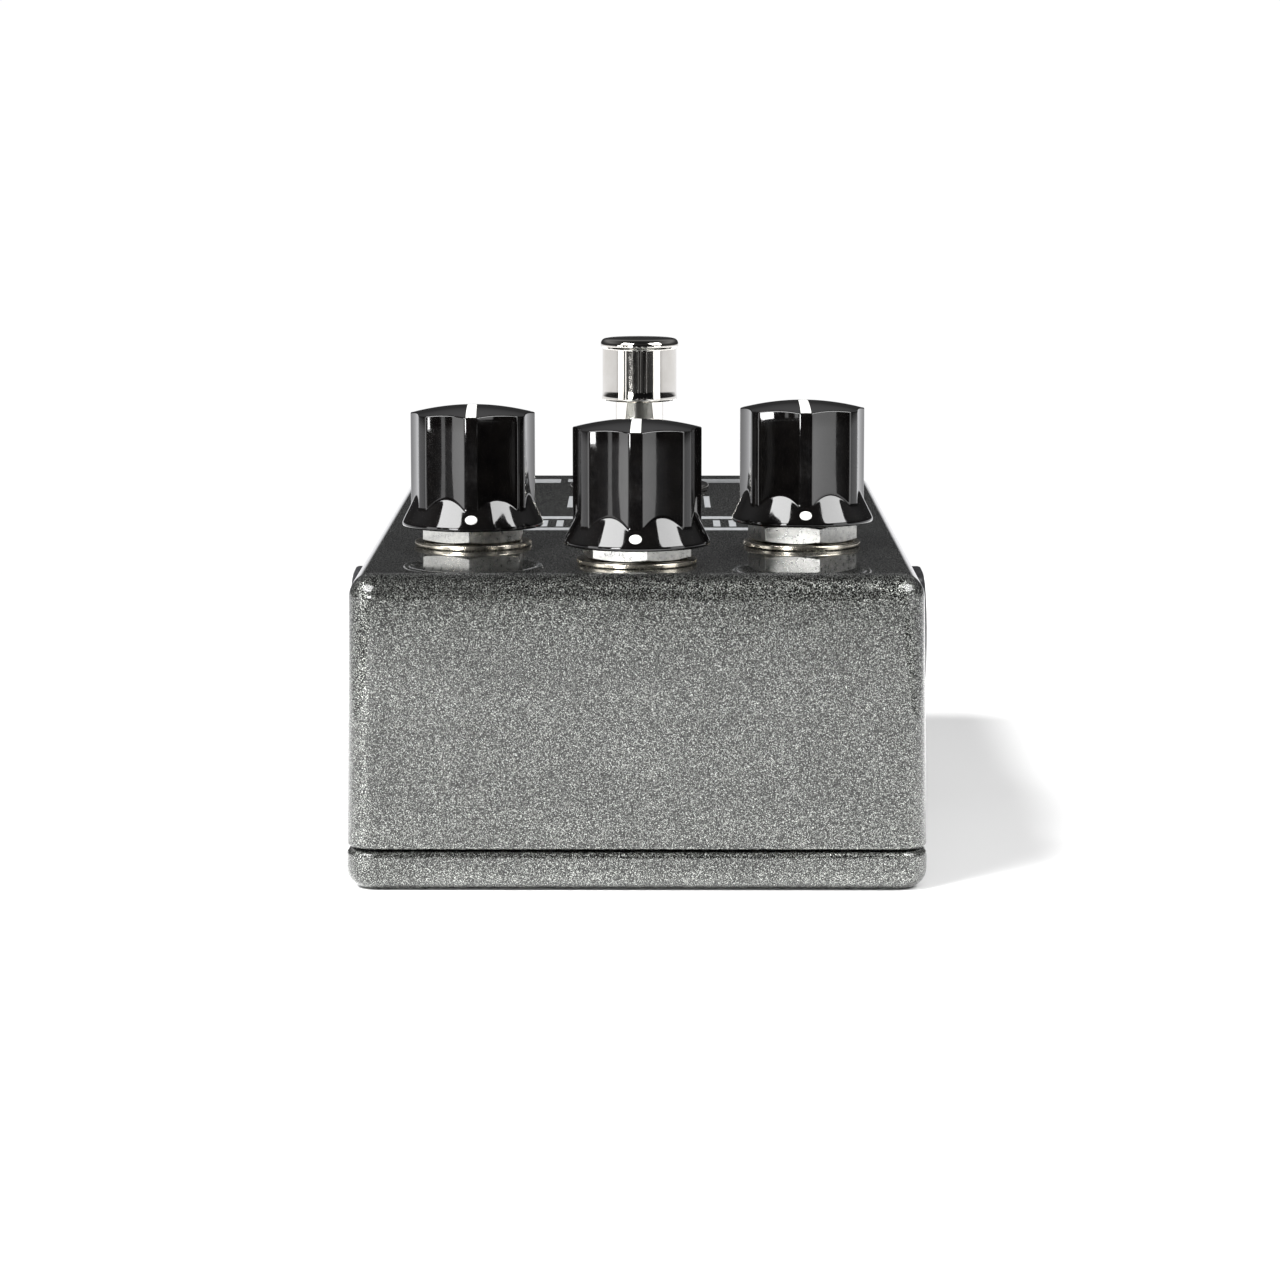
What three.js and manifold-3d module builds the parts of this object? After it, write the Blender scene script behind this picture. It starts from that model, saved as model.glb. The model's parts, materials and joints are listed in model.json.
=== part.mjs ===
// A compact three-knob guitar effects pedal in a die-cast enclosure, as a bench assembly.
// Millimetres, +Z up. The origin is the centre of the footprint, on the surface the pedal rests on.
// The knob end is -Y and the footswitch end is +Y. The player stands at +Y, so the guitar plugs in
// on -X and the amplifier on +X.
import * as THREE from 'three';
import { mergeVertices } from 'three/addons/utils/BufferGeometryUtils.js';
import Module from 'manifold-3d';

const wasm = await Module();
wasm.setup();

// ---------- driving dimensions ----------
const LENGTH = 111.5;
const WIDTH = 60.5;
const HEIGHT = 33.0;
const WALL = 2.0;
const DRAFT = 0.0135;            // wall lean, mm per mm of height, on each side
const CORNER_R = 3.0;            // upright corners, in plan
const TOP_R = 2.4;               // round between walls and top face
const BASE_HEIGHT = 4.05;        // top of the base plate's rim
const SEAM_GAP = 0.3;
const PAD_RISE = 0.3;            // corner pads stand this far below the plate
const SEAT = 0.05;               // gap between stacked flat faces
const FIT = 0.3;                 // gap between pieces that nest

const SIDE_KNOB_X = 18.0;
const SIDE_KNOB_Y = -27.2;
const CENTRE_KNOB_Y = -44.0;
const SWITCH_Y = 35.0;
const JACK_Y = -4.8;
const JACK_Z = 20.0;
const DC_Y = -37.0;
const DC_Z = 12.6;
const LED_Y = -21.0;

// Each pot stands at [x, y]; lift is the knob's skirt above the top face; turn is how far the
// pointer is off straight ahead (degrees), and nutTurn is where the nut's corner stopped.
const POTS = [
  { name: 'left', x: -SIDE_KNOB_X, y: SIDE_KNOB_Y, lift: 2.2, turn: 1, nutTurn: -1.5 },
  { name: 'centre', x: 0, y: CENTRE_KNOB_Y, lift: 2.0, turn: -1, nutTurn: 10.5 },
  { name: 'right', x: SIDE_KNOB_X, y: SIDE_KNOB_Y, lift: 2.7, turn: 1, nutTurn: 17 },
];

// ---------- derived levels ----------
const SEAM = BASE_HEIGHT + SEAM_GAP;
const BOX_HALF_X = WIDTH / 2 - 0.07;
const BOX_HALF_Y = LENGTH / 2 - 0.07;
const CEILING = HEIGHT - WALL;
const FLOOR = 2.3;               // inner face of the base plate
const halfXAt = (z) => BOX_HALF_X * (1 - (DRAFT * (z - SEAM)) / BOX_HALF_X);

// ---------- materials ----------
const paint = (color, roughness, metalness) =>
  new THREE.MeshStandardMaterial({ color, roughness, metalness });
const MATERIALS = {
  coat: paint(0x77797a, 0.4, 0.6),
  nickel: paint(0xd6d3cc, 0.16, 1.0),
  zinc: paint(0xc2c3c2, 0.32, 1.0),
  blackGloss: paint(0x0b0b0c, 0.12, 0.0),
  blackPlastic: paint(0x17171a, 0.5, 0.0),
  steel: paint(0x9a9c9e, 0.35, 1.0),
  blackSteel: paint(0x1c1c1e, 0.35, 0.8),
  board: paint(0x1f5a37, 0.5, 0.0),
  switchBase: paint(0x2b4f8c, 0.5, 0.0),
  film: paint(0xa03a22, 0.45, 0.0),
  sleeve: paint(0x20242c, 0.4, 0.1),
  lens: paint(0x7d0c0c, 0.2, 0.0),
  cell: paint(0x3a3d42, 0.35, 0.3),
  foam: paint(0x3b3b3d, 0.95, 0.0),
  ribbon: paint(0x8d9094, 0.6, 0.0),
  redWire: paint(0xa81414, 0.45, 0.0),
  blackWire: paint(0x121212, 0.45, 0.0),
};

// ---------- geometry helpers ----------
const deg = (degrees) => (degrees * Math.PI) / 180;

function signedVolume(positions, index) {
  const a = new THREE.Vector3();
  const b = new THREE.Vector3();
  const c = new THREE.Vector3();
  let volume = 0;
  for (let i = 0; i < index.length; i += 3) {
    a.fromArray(positions, index[i] * 3);
    b.fromArray(positions, index[i + 1] * 3);
    c.fromArray(positions, index[i + 2] * 3);
    volume += a.dot(b.cross(c)) / 6;
  }
  return volume;
}

// Merge shared corners, drop collapsed triangles and turn every face outwards.
function closed(geometry) {
  geometry.deleteAttribute('normal');
  geometry.deleteAttribute('uv');
  const merged = mergeVertices(geometry, 1e-4);
  const all = Array.from(merged.index.array);
  const index = [];
  for (let i = 0; i < all.length; i += 3) {
    const [p, q, r] = [all[i], all[i + 1], all[i + 2]];
    if (p === q || q === r || r === p) continue;
    index.push(p, q, r);
  }
  if (signedVolume(merged.attributes.position.array, index) < 0) {
    for (let i = 0; i < index.length; i += 3) {
      [index[i + 1], index[i + 2]] = [index[i + 2], index[i + 1]];
    }
  }
  merged.setIndex(index);
  return merged;
}

function toManifold(geometry) {
  const body = closed(geometry.clone());
  return new wasm.Manifold(new wasm.Mesh({
    numProp: 3,
    vertProperties: new Float32Array(body.attributes.position.array),
    triVerts: new Uint32Array(body.index.array),
  }));
}

function fromManifold(body) {
  const mesh = body.getMesh();
  const geometry = new THREE.BufferGeometry();
  geometry.setAttribute('position', new THREE.BufferAttribute(mesh.vertProperties, 3));
  geometry.setIndex(new THREE.BufferAttribute(mesh.triVerts, 1));
  return geometry;
}

function join(first, ...others) {
  let body = toManifold(first);
  for (const other of others) body = body.add(toManifold(other));
  return fromManifold(body);
}

function cut(first, ...tools) {
  let body = toManifold(first);
  for (const tool of tools) body = body.subtract(toManifold(tool));
  return fromManifold(body);
}

// A box from its lowest to its highest corner.
function block(low, high) {
  const size = high.map((value, i) => value - low[i]);
  const middle = high.map((value, i) => (value + low[i]) / 2);
  return new THREE.BoxGeometry(...size).translate(...middle);
}

// A turned solid about Z at the origin, from [radius, z] points of a profile.
function turned(profile, segments = 24) {
  const points = profile.map(([r, z]) => new THREE.Vector2(r, z));
  return closed(new THREE.LatheGeometry(points, segments).rotateX(Math.PI / 2));
}

// A solid disc or rod about Z.
function rod(radius, z0, z1, segments = 24) {
  return turned([[0, z0], [radius, z0], [radius, z1], [0, z1]], segments);
}

// A ring about Z with a closed square section.
function ring(inner, outer, z0, z1, segments = 24) {
  return turned([[inner, z0], [outer, z0], [outer, z1], [inner, z1], [inner, z0]], segments);
}

// A hexagonal nut about Z with chamfered corners; across is its width over the flats.
function hexNut(across, bore, z0, z1, chamfer = 0.45) {
  const corner = across / Math.sqrt(3);
  const flats = rod(corner, z0, z1, 6);
  const rounded = turned([
    [0, z0], [corner - chamfer, z0], [corner, z0 + chamfer * 0.6],
    [corner, z1 - chamfer * 0.6], [corner - chamfer, z1], [0, z1],
  ], 24);
  const body = toManifold(flats).intersect(toManifold(rounded));
  return fromManifold(body.subtract(toManifold(rod(bore, z0 - 1, z1 + 1))));
}

function roundedRect(halfX, halfY, radius) {
  const shape = new THREE.Shape();
  shape.absarc(halfX - radius, halfY - radius, radius, 0, Math.PI / 2);
  shape.absarc(radius - halfX, halfY - radius, radius, Math.PI / 2, Math.PI);
  shape.absarc(radius - halfX, radius - halfY, radius, Math.PI, 1.5 * Math.PI);
  shape.absarc(halfX - radius, radius - halfY, radius, 1.5 * Math.PI, 2 * Math.PI);
  return shape;
}

// An upright slab of a plan shape; edge rounds both rims inside the outline.
function slab(shape, z0, z1, edge = 0, edgeSegments = 3, curveSegments = 2) {
  const geometry = new THREE.ExtrudeGeometry(shape, {
    depth: z1 - z0 - 2 * edge,
    curveSegments,
    bevelEnabled: edge > 0,
    bevelThickness: edge,
    bevelSize: edge,
    bevelOffset: -edge,
    bevelSegments: edgeSegments,
  });
  return closed(geometry.translate(0, 0, z0 + edge));
}

// Lean the walls inwards by the draft, starting at the seam.
function drafted(geometry) {
  const position = geometry.attributes.position;
  for (let i = 0; i < position.count; i += 1) {
    const inset = DRAFT * (position.getZ(i) - SEAM);
    position.setX(i, position.getX(i) * (1 - inset / BOX_HALF_X));
    position.setY(i, position.getY(i) * (1 - inset / BOX_HALF_Y));
  }
  return geometry;
}

// A round bar along a smooth curve through points.
function bar(points, radius, steps, sides = 8) {
  const section = new THREE.Shape();
  section.absarc(0, 0, radius, 0, 2 * Math.PI);
  const path = new THREE.CatmullRomCurve3(points.map((p) => new THREE.Vector3(...p)));
  return closed(new THREE.ExtrudeGeometry(section, {
    steps, curveSegments: sides / 2, bevelEnabled: false, extrudePath: path,
  }));
}

const pedal = new THREE.Group();

function addPiece(name, geometry, material, { at = [0, 0, 0], turnZ = 0, turnY = 0 } = {}) {
  const mesh = new THREE.Mesh(geometry, material);
  mesh.name = name;
  mesh.position.set(...at);
  mesh.rotation.set(0, deg(turnY), deg(turnZ));
  pedal.add(mesh);
}

// ---------- enclosure and base plate ----------
const BOSS_R = 3.7;              // screw posts in the corners, in both castings
const SCREW_X = 25.4;
const SCREW_Y = 50.9;
const SHANK_R = 1.5;
const corners = [[-1, -1], [1, -1], [1, 1], [-1, 1]].map(([i, j]) => [i * SCREW_X, j * SCREW_Y]);

const BUSHING_R = 3.5;           // M7 pot bushing
const SWITCH_BUSHING_R = 6.0;    // M12 switch bushing
const SLEEVE_R = 5.6;            // threaded jack sleeve
const DC_HOLE_R = 4.4;
const HOLLOW_CORNER_R = 2.0;     // upright corners inside the enclosure
const CEILING_R = 1.5;           // round between the inner walls and the ceiling
const BEZEL_R = 3.4;

// A cutter lying along X on the given side, through the wall.
function sideCutter(radius, side, y, z) {
  const reach = 6;
  return rod(radius, -reach, reach, 24).rotateY(Math.PI / 2).translate(side * BOX_HALF_X, y, z);
}

function enclosure() {
  const below = 12;              // the loft starts this far under the seam and is cut off there
  const outer = drafted(slab(roundedRect(BOX_HALF_X, BOX_HALF_Y, CORNER_R), SEAM - below,
    HEIGHT, TOP_R, 3, 2));
  const inner = drafted(slab(roundedRect(BOX_HALF_X - WALL, BOX_HALF_Y - WALL, HOLLOW_CORNER_R),
    SEAM - 2 * below, CEILING, CEILING_R, 1, 1));
  const shell = cut(outer, block([-WIDTH, -LENGTH, SEAM - 3 * below], [WIDTH, LENGTH, SEAM]), inner);
  const bosses = corners.map(([x, y]) => rod(BOSS_R, SEAM, CEILING + 0.5, 16).translate(x, y, 0));
  const holes = [
    ...corners.map(([x, y]) => rod(SHANK_R + FIT, SEAM - 1, SEAM + 10, 12).translate(x, y, 0)),
    ...POTS.map((pot) => rod(BUSHING_R + FIT, CEILING - 1, HEIGHT + 1).translate(pot.x, pot.y, 0)),
    rod(SWITCH_BUSHING_R + FIT, CEILING - 1, HEIGHT + 1, 28).translate(0, SWITCH_Y, 0),
    rod(BEZEL_R + FIT, CEILING - 1, HEIGHT + 1).translate(0, LED_Y, 0),
    sideCutter(SLEEVE_R + FIT, -1, JACK_Y, JACK_Z),
    sideCutter(SLEEVE_R + FIT, 1, JACK_Y, JACK_Z),
    sideCutter(DC_HOLE_R, -1, DC_Y, DC_Z),
  ];
  return cut(join(shell, ...bosses), ...holes);
}

const HEAD_R = 2.75;
const HEAD_EDGE = 0.25;          // upright rim of the screw head
const HEAD_CONE = 1.25;
const HEAD_SINK = 0.5;           // screw head below the pad's face
const PAD_R = 4.6;
const SCREW_TIP = 13.4;
const BASE_CORNER_R = 3.2;
const BASE_RIM = 3.2;            // width of the raised rim round the tray
const RIM_ROUND = 0.6;           // round on the rim's upper edge
const FOOT_ROUND = 1.9;          // round on the plate's lower edge
const LIP_THICK = 1.2;           // locating lips that reach up inside the enclosure
const LIP_TOP = 5.4;
const SIDE_LIP = 44.0;           // half lengths of the lips
const END_LIP = 19.0;

function basePlate() {
  const outline = () => roundedRect(WIDTH / 2, LENGTH / 2, BASE_CORNER_R);
  const plate = slab(outline(), 0, BASE_HEIGHT, RIM_ROUND, 1, 2);
  const footRounded = slab(outline(), 0, BASE_HEIGHT + 4, FOOT_ROUND, 3, 2);
  // the face is cut back by the pad rise, but not at each screw's round pad and the corner outside it
  const face = block([-WIDTH, -LENGTH, -1], [WIDTH, LENGTH, PAD_RISE]);
  const pads = corners.flatMap(([x, y]) => [
    rod(PAD_R, -2, BASE_HEIGHT, 20).translate(x, y, 0),
    block([0, 0, -2], [8, 8, BASE_HEIGHT]).translate(x > 0 ? x : x - 8, y > 0 ? y : y - 8, 0),
  ]);
  const pocket = slab(roundedRect(WIDTH / 2 - BASE_RIM, LENGTH / 2 - BASE_RIM, BASE_CORNER_R / 2),
    FLOOR, BASE_HEIGHT + 1, 0, 0, 1);
  const posts = corners.map(([x, y]) => rod(BOSS_R, 1, BASE_HEIGHT, 12).translate(x, y, 0));
  const lipX = BOX_HALF_X - WALL - FIT;
  const lipY = BOX_HALF_Y - WALL - FIT;
  const lips = [-1, 1].flatMap((side) => [
    block([side > 0 ? lipX - LIP_THICK : -lipX, -SIDE_LIP, FLOOR + 0.7],
      [side > 0 ? lipX : LIP_THICK - lipX, SIDE_LIP, LIP_TOP]),
    block([-END_LIP, side > 0 ? lipY - LIP_THICK : -lipY, FLOOR + 0.7],
      [END_LIP, side > 0 ? lipY : LIP_THICK - lipY, LIP_TOP]),
  ]);
  const sinkR = HEAD_R + 0.2;
  const coneFoot = HEAD_SINK + HEAD_EDGE + 0.1;
  const sink = turned([
    [0, -1], [sinkR, -1], [sinkR, coneFoot], [SHANK_R + FIT, coneFoot + HEAD_CONE],
    [SHANK_R + FIT, BASE_HEIGHT + 2], [0, BASE_HEIGHT + 2],
  ], 16);
  const sinks = corners.map(([x, y]) => sink.clone().translate(x, y, 0));
  const body = fromManifold(toManifold(plate).intersect(toManifold(footRounded)));
  const dished = cut(body, pocket, cut(face, ...pads));
  return cut(join(dished, ...posts, ...lips), ...sinks);
}

function baseScrew() {
  const coneFoot = HEAD_SINK + HEAD_EDGE;
  const screw = turned([
    [0, HEAD_SINK], [HEAD_R, HEAD_SINK], [HEAD_R, coneFoot],
    [SHANK_R, coneFoot + HEAD_CONE], [SHANK_R, SCREW_TIP - 0.8], [0.5, SCREW_TIP], [0, SCREW_TIP],
  ], 16);
  const slotHalf = 1.6;
  const slot = block([-slotHalf, -0.35, 0], [slotHalf, 0.35, HEAD_SINK + 1.0]);
  return cut(screw, slot, slot.clone().rotateZ(Math.PI / 2));
}

addPiece('enclosure', enclosure(), MATERIALS.coat);
addPiece('base_plate', basePlate(), MATERIALS.coat);
corners.forEach(([x, y], i) => {
  addPiece(`base_screw_${i + 1}`, baseScrew(), MATERIALS.blackSteel, { at: [x, y, 0], turnZ: 20 * i });
});

// ---------- circuit boards ----------
const BOARD_TOP = 21.0;
const BOARD_THICK = 1.6;
const BOARD_UNDER = BOARD_TOP - BOARD_THICK;
const BOARD_BACK = -15.0;
const BOARD_FRONT = -51.0;
const BOARD_HALF_X = 26.0;
const SWITCH_BOARD_HALF = [11, 10];

function mainBoard() {
  const board = block([-BOARD_HALF_X, BOARD_FRONT, BOARD_UNDER],
    [BOARD_HALF_X, BOARD_BACK, BOARD_TOP]);
  const clearBoss = corners.slice(0, 2).map(([x, y]) =>
    rod(BOSS_R + 0.6, BOARD_UNDER - 1, BOARD_TOP + 1, 16).translate(x, y, 0));
  return cut(board, ...clearBoss);
}

const SWITCH_BOARD_TOP = 13.6;
addPiece('main_board', mainBoard(), MATERIALS.board);
addPiece('switch_board', block(
  [-SWITCH_BOARD_HALF[0], SWITCH_Y - SWITCH_BOARD_HALF[1], SWITCH_BOARD_TOP - BOARD_THICK],
  [SWITCH_BOARD_HALF[0], SWITCH_Y + SWITCH_BOARD_HALF[1], SWITCH_BOARD_TOP],
), MATERIALS.board);

// A dual in-line chip hanging under the board, with its two rows of legs.
function chip() {
  const pitch = 2.54;
  const body = block([-4.8, -3.2, -4.2], [4.8, 3.2, -0.8]);
  const legs = [-1.5, -0.5, 0.5, 1.5].flatMap((step) => [-3.5, 3.5].map((y) =>
    block([step * pitch - 0.3, y - 0.35, -3.0], [step * pitch + 0.3, y + 0.35, -SEAT])));
  return join(body, ...legs);
}

// A radial can hanging under the board, with a rolled groove near its foot.
const canCapacitor = (radius, height, edge = 0.4) => turned([
  [0, -SEAT], [radius - edge, -SEAT], [radius, -edge], [radius, -1.1], [radius - edge, -1.5],
  [radius, -1.9], [radius, edge - height], [radius - edge, -height], [0, -height],
], 16);

const filmCapacitor = () => slab(roundedRect(3.6, 1.3, 0.8), -6.5, -SEAT, 0.4, 1, 1);

addPiece('preamp_chip', chip(), MATERIALS.blackPlastic, { at: [8, -30, BOARD_UNDER] });
addPiece('mixer_chip', chip(), MATERIALS.blackPlastic, { at: [8, -42, BOARD_UNDER] });
addPiece('supply_capacitor', canCapacitor(4.0, 11.5), MATERIALS.sleeve,
  { at: [-9, -21, BOARD_UNDER] });
addPiece('coupling_capacitor', canCapacitor(2.5, 8.0), MATERIALS.sleeve,
  { at: [-2, -47, BOARD_UNDER] });
[[20, -46], [20, -38], [20, -30], [-1, -38]].forEach(([x, y], i) => {
  addPiece(`film_capacitor_${i + 1}`, filmCapacitor(), MATERIALS.film, { at: [x, y, BOARD_UNDER] });
});

// ---------- potentiometers and their hardware ----------
const SHAFT_R = 3.0;
const POT_HALF = [4.9, 5.6];
const POT_TALL = 6.8;
const POT_WASHER_R = 6.35;
const WASHER_THICK = 0.6;
const NUT_ACROSS = 10.5;
const NUT_HEIGHT = 2.0;
const POT_TOP = CEILING - SEAT;
const POT_FOOT = POT_TOP - POT_TALL;
const BUSHING_TOP = HEIGHT + 3.6;
const SHAFT_FOOT = POT_FOOT + 2.0;
const SHAFT_FLAT = 1.5;          // the shaft's flat, from its axis
const KNOB_HEIGHT = 13.2;

function potHousing() {
  const can = block([-POT_HALF[0], -POT_HALF[1], POT_FOOT], [...POT_HALF, POT_TOP]);
  const bushing = rod(BUSHING_R, POT_TOP - 1, BUSHING_TOP);
  const pins = [-2.5, 0, 2.5].map((x) => block([x - 0.4, 4.6, BOARD_TOP + SEAT],
    [x + 0.4, 5.0, POT_FOOT + 0.5]));
  const bore = rod(SHAFT_R + 0.1, SHAFT_FOOT - FIT, BUSHING_TOP + 1);
  return cut(join(can, bushing, ...pins), bore);
}

// The shaft ends in a flat for the knob to press on.
function potShaft(top) {
  const shaft = turned([[0, SHAFT_FOOT], [SHAFT_R, SHAFT_FOOT], [SHAFT_R, top - 0.5],
    [SHAFT_R - 0.5, top], [0, top]]);
  return cut(shaft, block([-5, SHAFT_FLAT, BUSHING_TOP + 0.6], [5, 5, top + 1]));
}

const potWasher = () => ring(BUSHING_R + FIT, POT_WASHER_R, HEIGHT + SEAT, HEIGHT + WASHER_THICK);
const potNut = () => hexNut(NUT_ACROSS, BUSHING_R + FIT, HEIGHT + WASHER_THICK + SEAT,
  HEIGHT + WASHER_THICK + NUT_HEIGHT);

// ---------- knobs ----------
const SKIRT_R = 7.7;
const SKIRT_EDGE = 0.2;
const CONE_FOOT = 0.45;          // the skirt's rim is upright up to here
const CONE_TOP = 3.65;
const CONE_STEP = 1.6;           // how much narrower the cone is at its top
const RIB_R = 6.87;
const FLUTES = 7;
const FLUTE_DEPTH_R = 6.22;      // nearest a flute comes to the knob's axis
const FLUTE_R = 12.8;            // radius of a flute's hollow
const DOME_R = 27.0;
const RECESS_R = 6.8;            // hollow under the skirt, round the nut
const RECESS_DEPTH = 1.3;
const COLLAR_DEPTH = 2.2;        // hollow round the end of the bushing

// The knob stands on z = 0 with its pointer rib towards -Y.
function knob(shaftReach) {
  const shoulder = KNOB_HEIGHT - (DOME_R - Math.sqrt(DOME_R ** 2 - RIB_R ** 2));
  const dome = [0.75, 0.5, 0.25].map((part) => {
    const r = RIB_R * part;
    return [r, KNOB_HEIGHT - (DOME_R - Math.sqrt(DOME_R ** 2 - r ** 2))];
  });
  const body = turned([
    [0, RECESS_DEPTH + FIT], [RIB_R, RECESS_DEPTH + FIT], [RIB_R, shoulder], ...dome, [0, KNOB_HEIGHT],
  ], 28);
  const flutes = Array.from({ length: FLUTES }, (_, i) => {
    const angle = (2 * Math.PI * (i + 0.5)) / FLUTES - Math.PI / 2;
    const reach = FLUTE_DEPTH_R + FLUTE_R;
    return rod(FLUTE_R, 0, KNOB_HEIGHT + 1, 40).rotateZ(angle)
      .translate(reach * Math.cos(angle), reach * Math.sin(angle), 0);
  });
  const skirt = turned([
    [0, 0], [SKIRT_R - SKIRT_EDGE, 0], [SKIRT_R, SKIRT_EDGE], [SKIRT_R, CONE_FOOT],
    [SKIRT_R - CONE_STEP, CONE_TOP], [0, CONE_TOP],
  ], 28);
  const recess = rod(RECESS_R, -1, RECESS_DEPTH, 24);
  const collar = rod(BUSHING_R + 0.7, -1, COLLAR_DEPTH, 16);
  const bore = cut(rod(SHAFT_R + FIT, -1, shaftReach + FIT),
    block([-5, SHAFT_FLAT + FIT, COLLAR_DEPTH + 1], [5, 6, shaftReach + 2]));
  return cut(join(cut(body, ...flutes), skirt), recess, collar, bore);
}

const SHAFT_IN_KNOB = 9.5;
for (const pot of POTS) {
  const at = [pot.x, pot.y, 0];
  const knobFoot = HEIGHT + pot.lift;
  addPiece(`pot_housing_${pot.name}`, potHousing(), MATERIALS.steel, { at });
  addPiece(`pot_washer_${pot.name}`, potWasher(), MATERIALS.nickel, { at });
  addPiece(`pot_nut_${pot.name}`, potNut(), MATERIALS.zinc, { at, turnZ: pot.nutTurn });
  addPiece(`pot_shaft_${pot.name}`, potShaft(knobFoot + SHAFT_IN_KNOB), MATERIALS.steel,
    { at, turnZ: pot.turn });
  addPiece(`knob_${pot.name}`, knob(SHAFT_IN_KNOB), MATERIALS.blackGloss,
    { at: [pot.x, pot.y, knobFoot], turnZ: pot.turn });
}

// ---------- footswitch ----------
const FRAME_TOP = CEILING - 1.6;
const FRAME_THICK = 1.2;
const SWITCH_BUSHING_TOP = HEIGHT + 6.0;
const SWITCH_HALF = 8.6;
const SWITCH_BASE_FOOT = 17.6;
const STEM_R = 2.95;
const CAP_R = 4.65;
const CAP_FOOT = 44.1;
const CAP_TOP = 51.8;
const PLUNGER_R = 4.2;
const PLUNGER_TOP = FRAME_TOP - FRAME_THICK - 0.4;
const SPRING_FOOT = SWITCH_BASE_FOOT + 1.6;
const SWITCH_NUT_ACROSS = 14.0;
const SWITCH_WASHER_R = 8.6;
const SWITCH_WASHER_TOP = HEIGHT + 0.8;
const SWITCH_NUT_TOP = HEIGHT + 3.3;
const LUG_PITCH = 5.0;

function switchFrame() {
  const plate = block([-SWITCH_HALF, -SWITCH_HALF, FRAME_TOP - FRAME_THICK],
    [SWITCH_HALF, SWITCH_HALF, FRAME_TOP]);
  const bushing = turned([
    [0, FRAME_TOP - 0.5], [SWITCH_BUSHING_R, FRAME_TOP - 0.5],
    [SWITCH_BUSHING_R, SWITCH_BUSHING_TOP - 0.6], [SWITCH_BUSHING_R - 0.6, SWITCH_BUSHING_TOP],
    [0, SWITCH_BUSHING_TOP],
  ], 28);
  const bore = rod(STEM_R + FIT, FRAME_TOP - 3, SWITCH_BUSHING_TOP + 1);
  return cut(join(plate, bushing), bore);
}

function switchBase() {
  const top = FRAME_TOP - FRAME_THICK - SEAT;
  const box = block([-SWITCH_HALF, -SWITCH_HALF, SWITCH_BASE_FOOT], [SWITCH_HALF, SWITCH_HALF, top]);
  const well = rod(PLUNGER_R + 0.8, SPRING_FOOT - SEAT, top + 1);
  const lugs = [-1, 0, 1].flatMap((i) => [-1, 0, 1].map((j) =>
    block([-1.1, -0.4, SWITCH_BOARD_TOP + SEAT], [1.1, 0.4, SWITCH_BASE_FOOT + 0.5])
      .translate(i * LUG_PITCH, j * LUG_PITCH, 0)));
  return cut(join(box, ...lugs), well);
}

function switchButton() {
  return turned([
    [0, PLUNGER_TOP - 1.4], [PLUNGER_R, PLUNGER_TOP - 1.4], [PLUNGER_R, PLUNGER_TOP],
    [STEM_R, PLUNGER_TOP], [STEM_R, CAP_FOOT + 0.3], [CAP_R - 0.5, CAP_FOOT],
    [CAP_R, CAP_FOOT + 0.5], [CAP_R, CAP_TOP - 0.8], [CAP_R - 0.25, CAP_TOP - 0.25],
    [CAP_R - 0.8, CAP_TOP], [0, CAP_TOP],
  ], 28);
}

// A helix between the base's floor and the plunger, with a round wire.
function returnSpring() {
  const wire = 0.4;
  const radius = 3.4;
  const turns = 3.5;
  const foot = SPRING_FOOT + wire + SEAT;
  const rise = PLUNGER_TOP - 1.4 - SEAT - wire - foot;
  const points = [];
  const perTurn = 10;
  for (let i = 0; i <= turns * perTurn; i += 1) {
    const angle = (2 * Math.PI * i) / perTurn;
    const z = foot + (rise * i) / (turns * perTurn);
    points.push([radius * Math.cos(angle), radius * Math.sin(angle), z]);
  }
  return bar(points, wire, points.length - 1, 6);
}

const switchAt = { at: [0, SWITCH_Y, 0] };
addPiece('footswitch_frame', switchFrame(), MATERIALS.nickel, switchAt);
addPiece('footswitch_base', switchBase(), MATERIALS.switchBase, switchAt);
addPiece('footswitch_spring', returnSpring(), MATERIALS.steel, switchAt);
addPiece('footswitch_button', switchButton(), MATERIALS.nickel, switchAt);
addPiece('footswitch_inner_nut', hexNut(SWITCH_NUT_ACROSS, SWITCH_BUSHING_R + 0.2, FRAME_TOP + SEAT,
  CEILING - SEAT, 0.3), MATERIALS.nickel, switchAt);
addPiece('footswitch_washer', ring(SWITCH_BUSHING_R + 0.2, SWITCH_WASHER_R, HEIGHT + SEAT,
  SWITCH_WASHER_TOP, 28), MATERIALS.nickel, switchAt);
addPiece('footswitch_nut', hexNut(SWITCH_NUT_ACROSS, SWITCH_BUSHING_R + 0.2,
  SWITCH_WASHER_TOP + SEAT, SWITCH_NUT_TOP), MATERIALS.nickel, switchAt);

// ---------- audio jacks ----------
const PLUG_R = 3.3;              // bore for a quarter-inch plug
const JACK_NUT_R = 8.0;
const JACK_FACE = 32.8;          // distance of the nut's outer face from the centre plane
const JACK_BACK = 2.4;           // distance of the housing's inner end from the centre plane
const JACK_HALF = 7.8;
const jackFront = halfXAt(JACK_Z - JACK_HALF) - WALL - 0.55;
const wallAtJack = halfXAt(JACK_Z - JACK_NUT_R);

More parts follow.
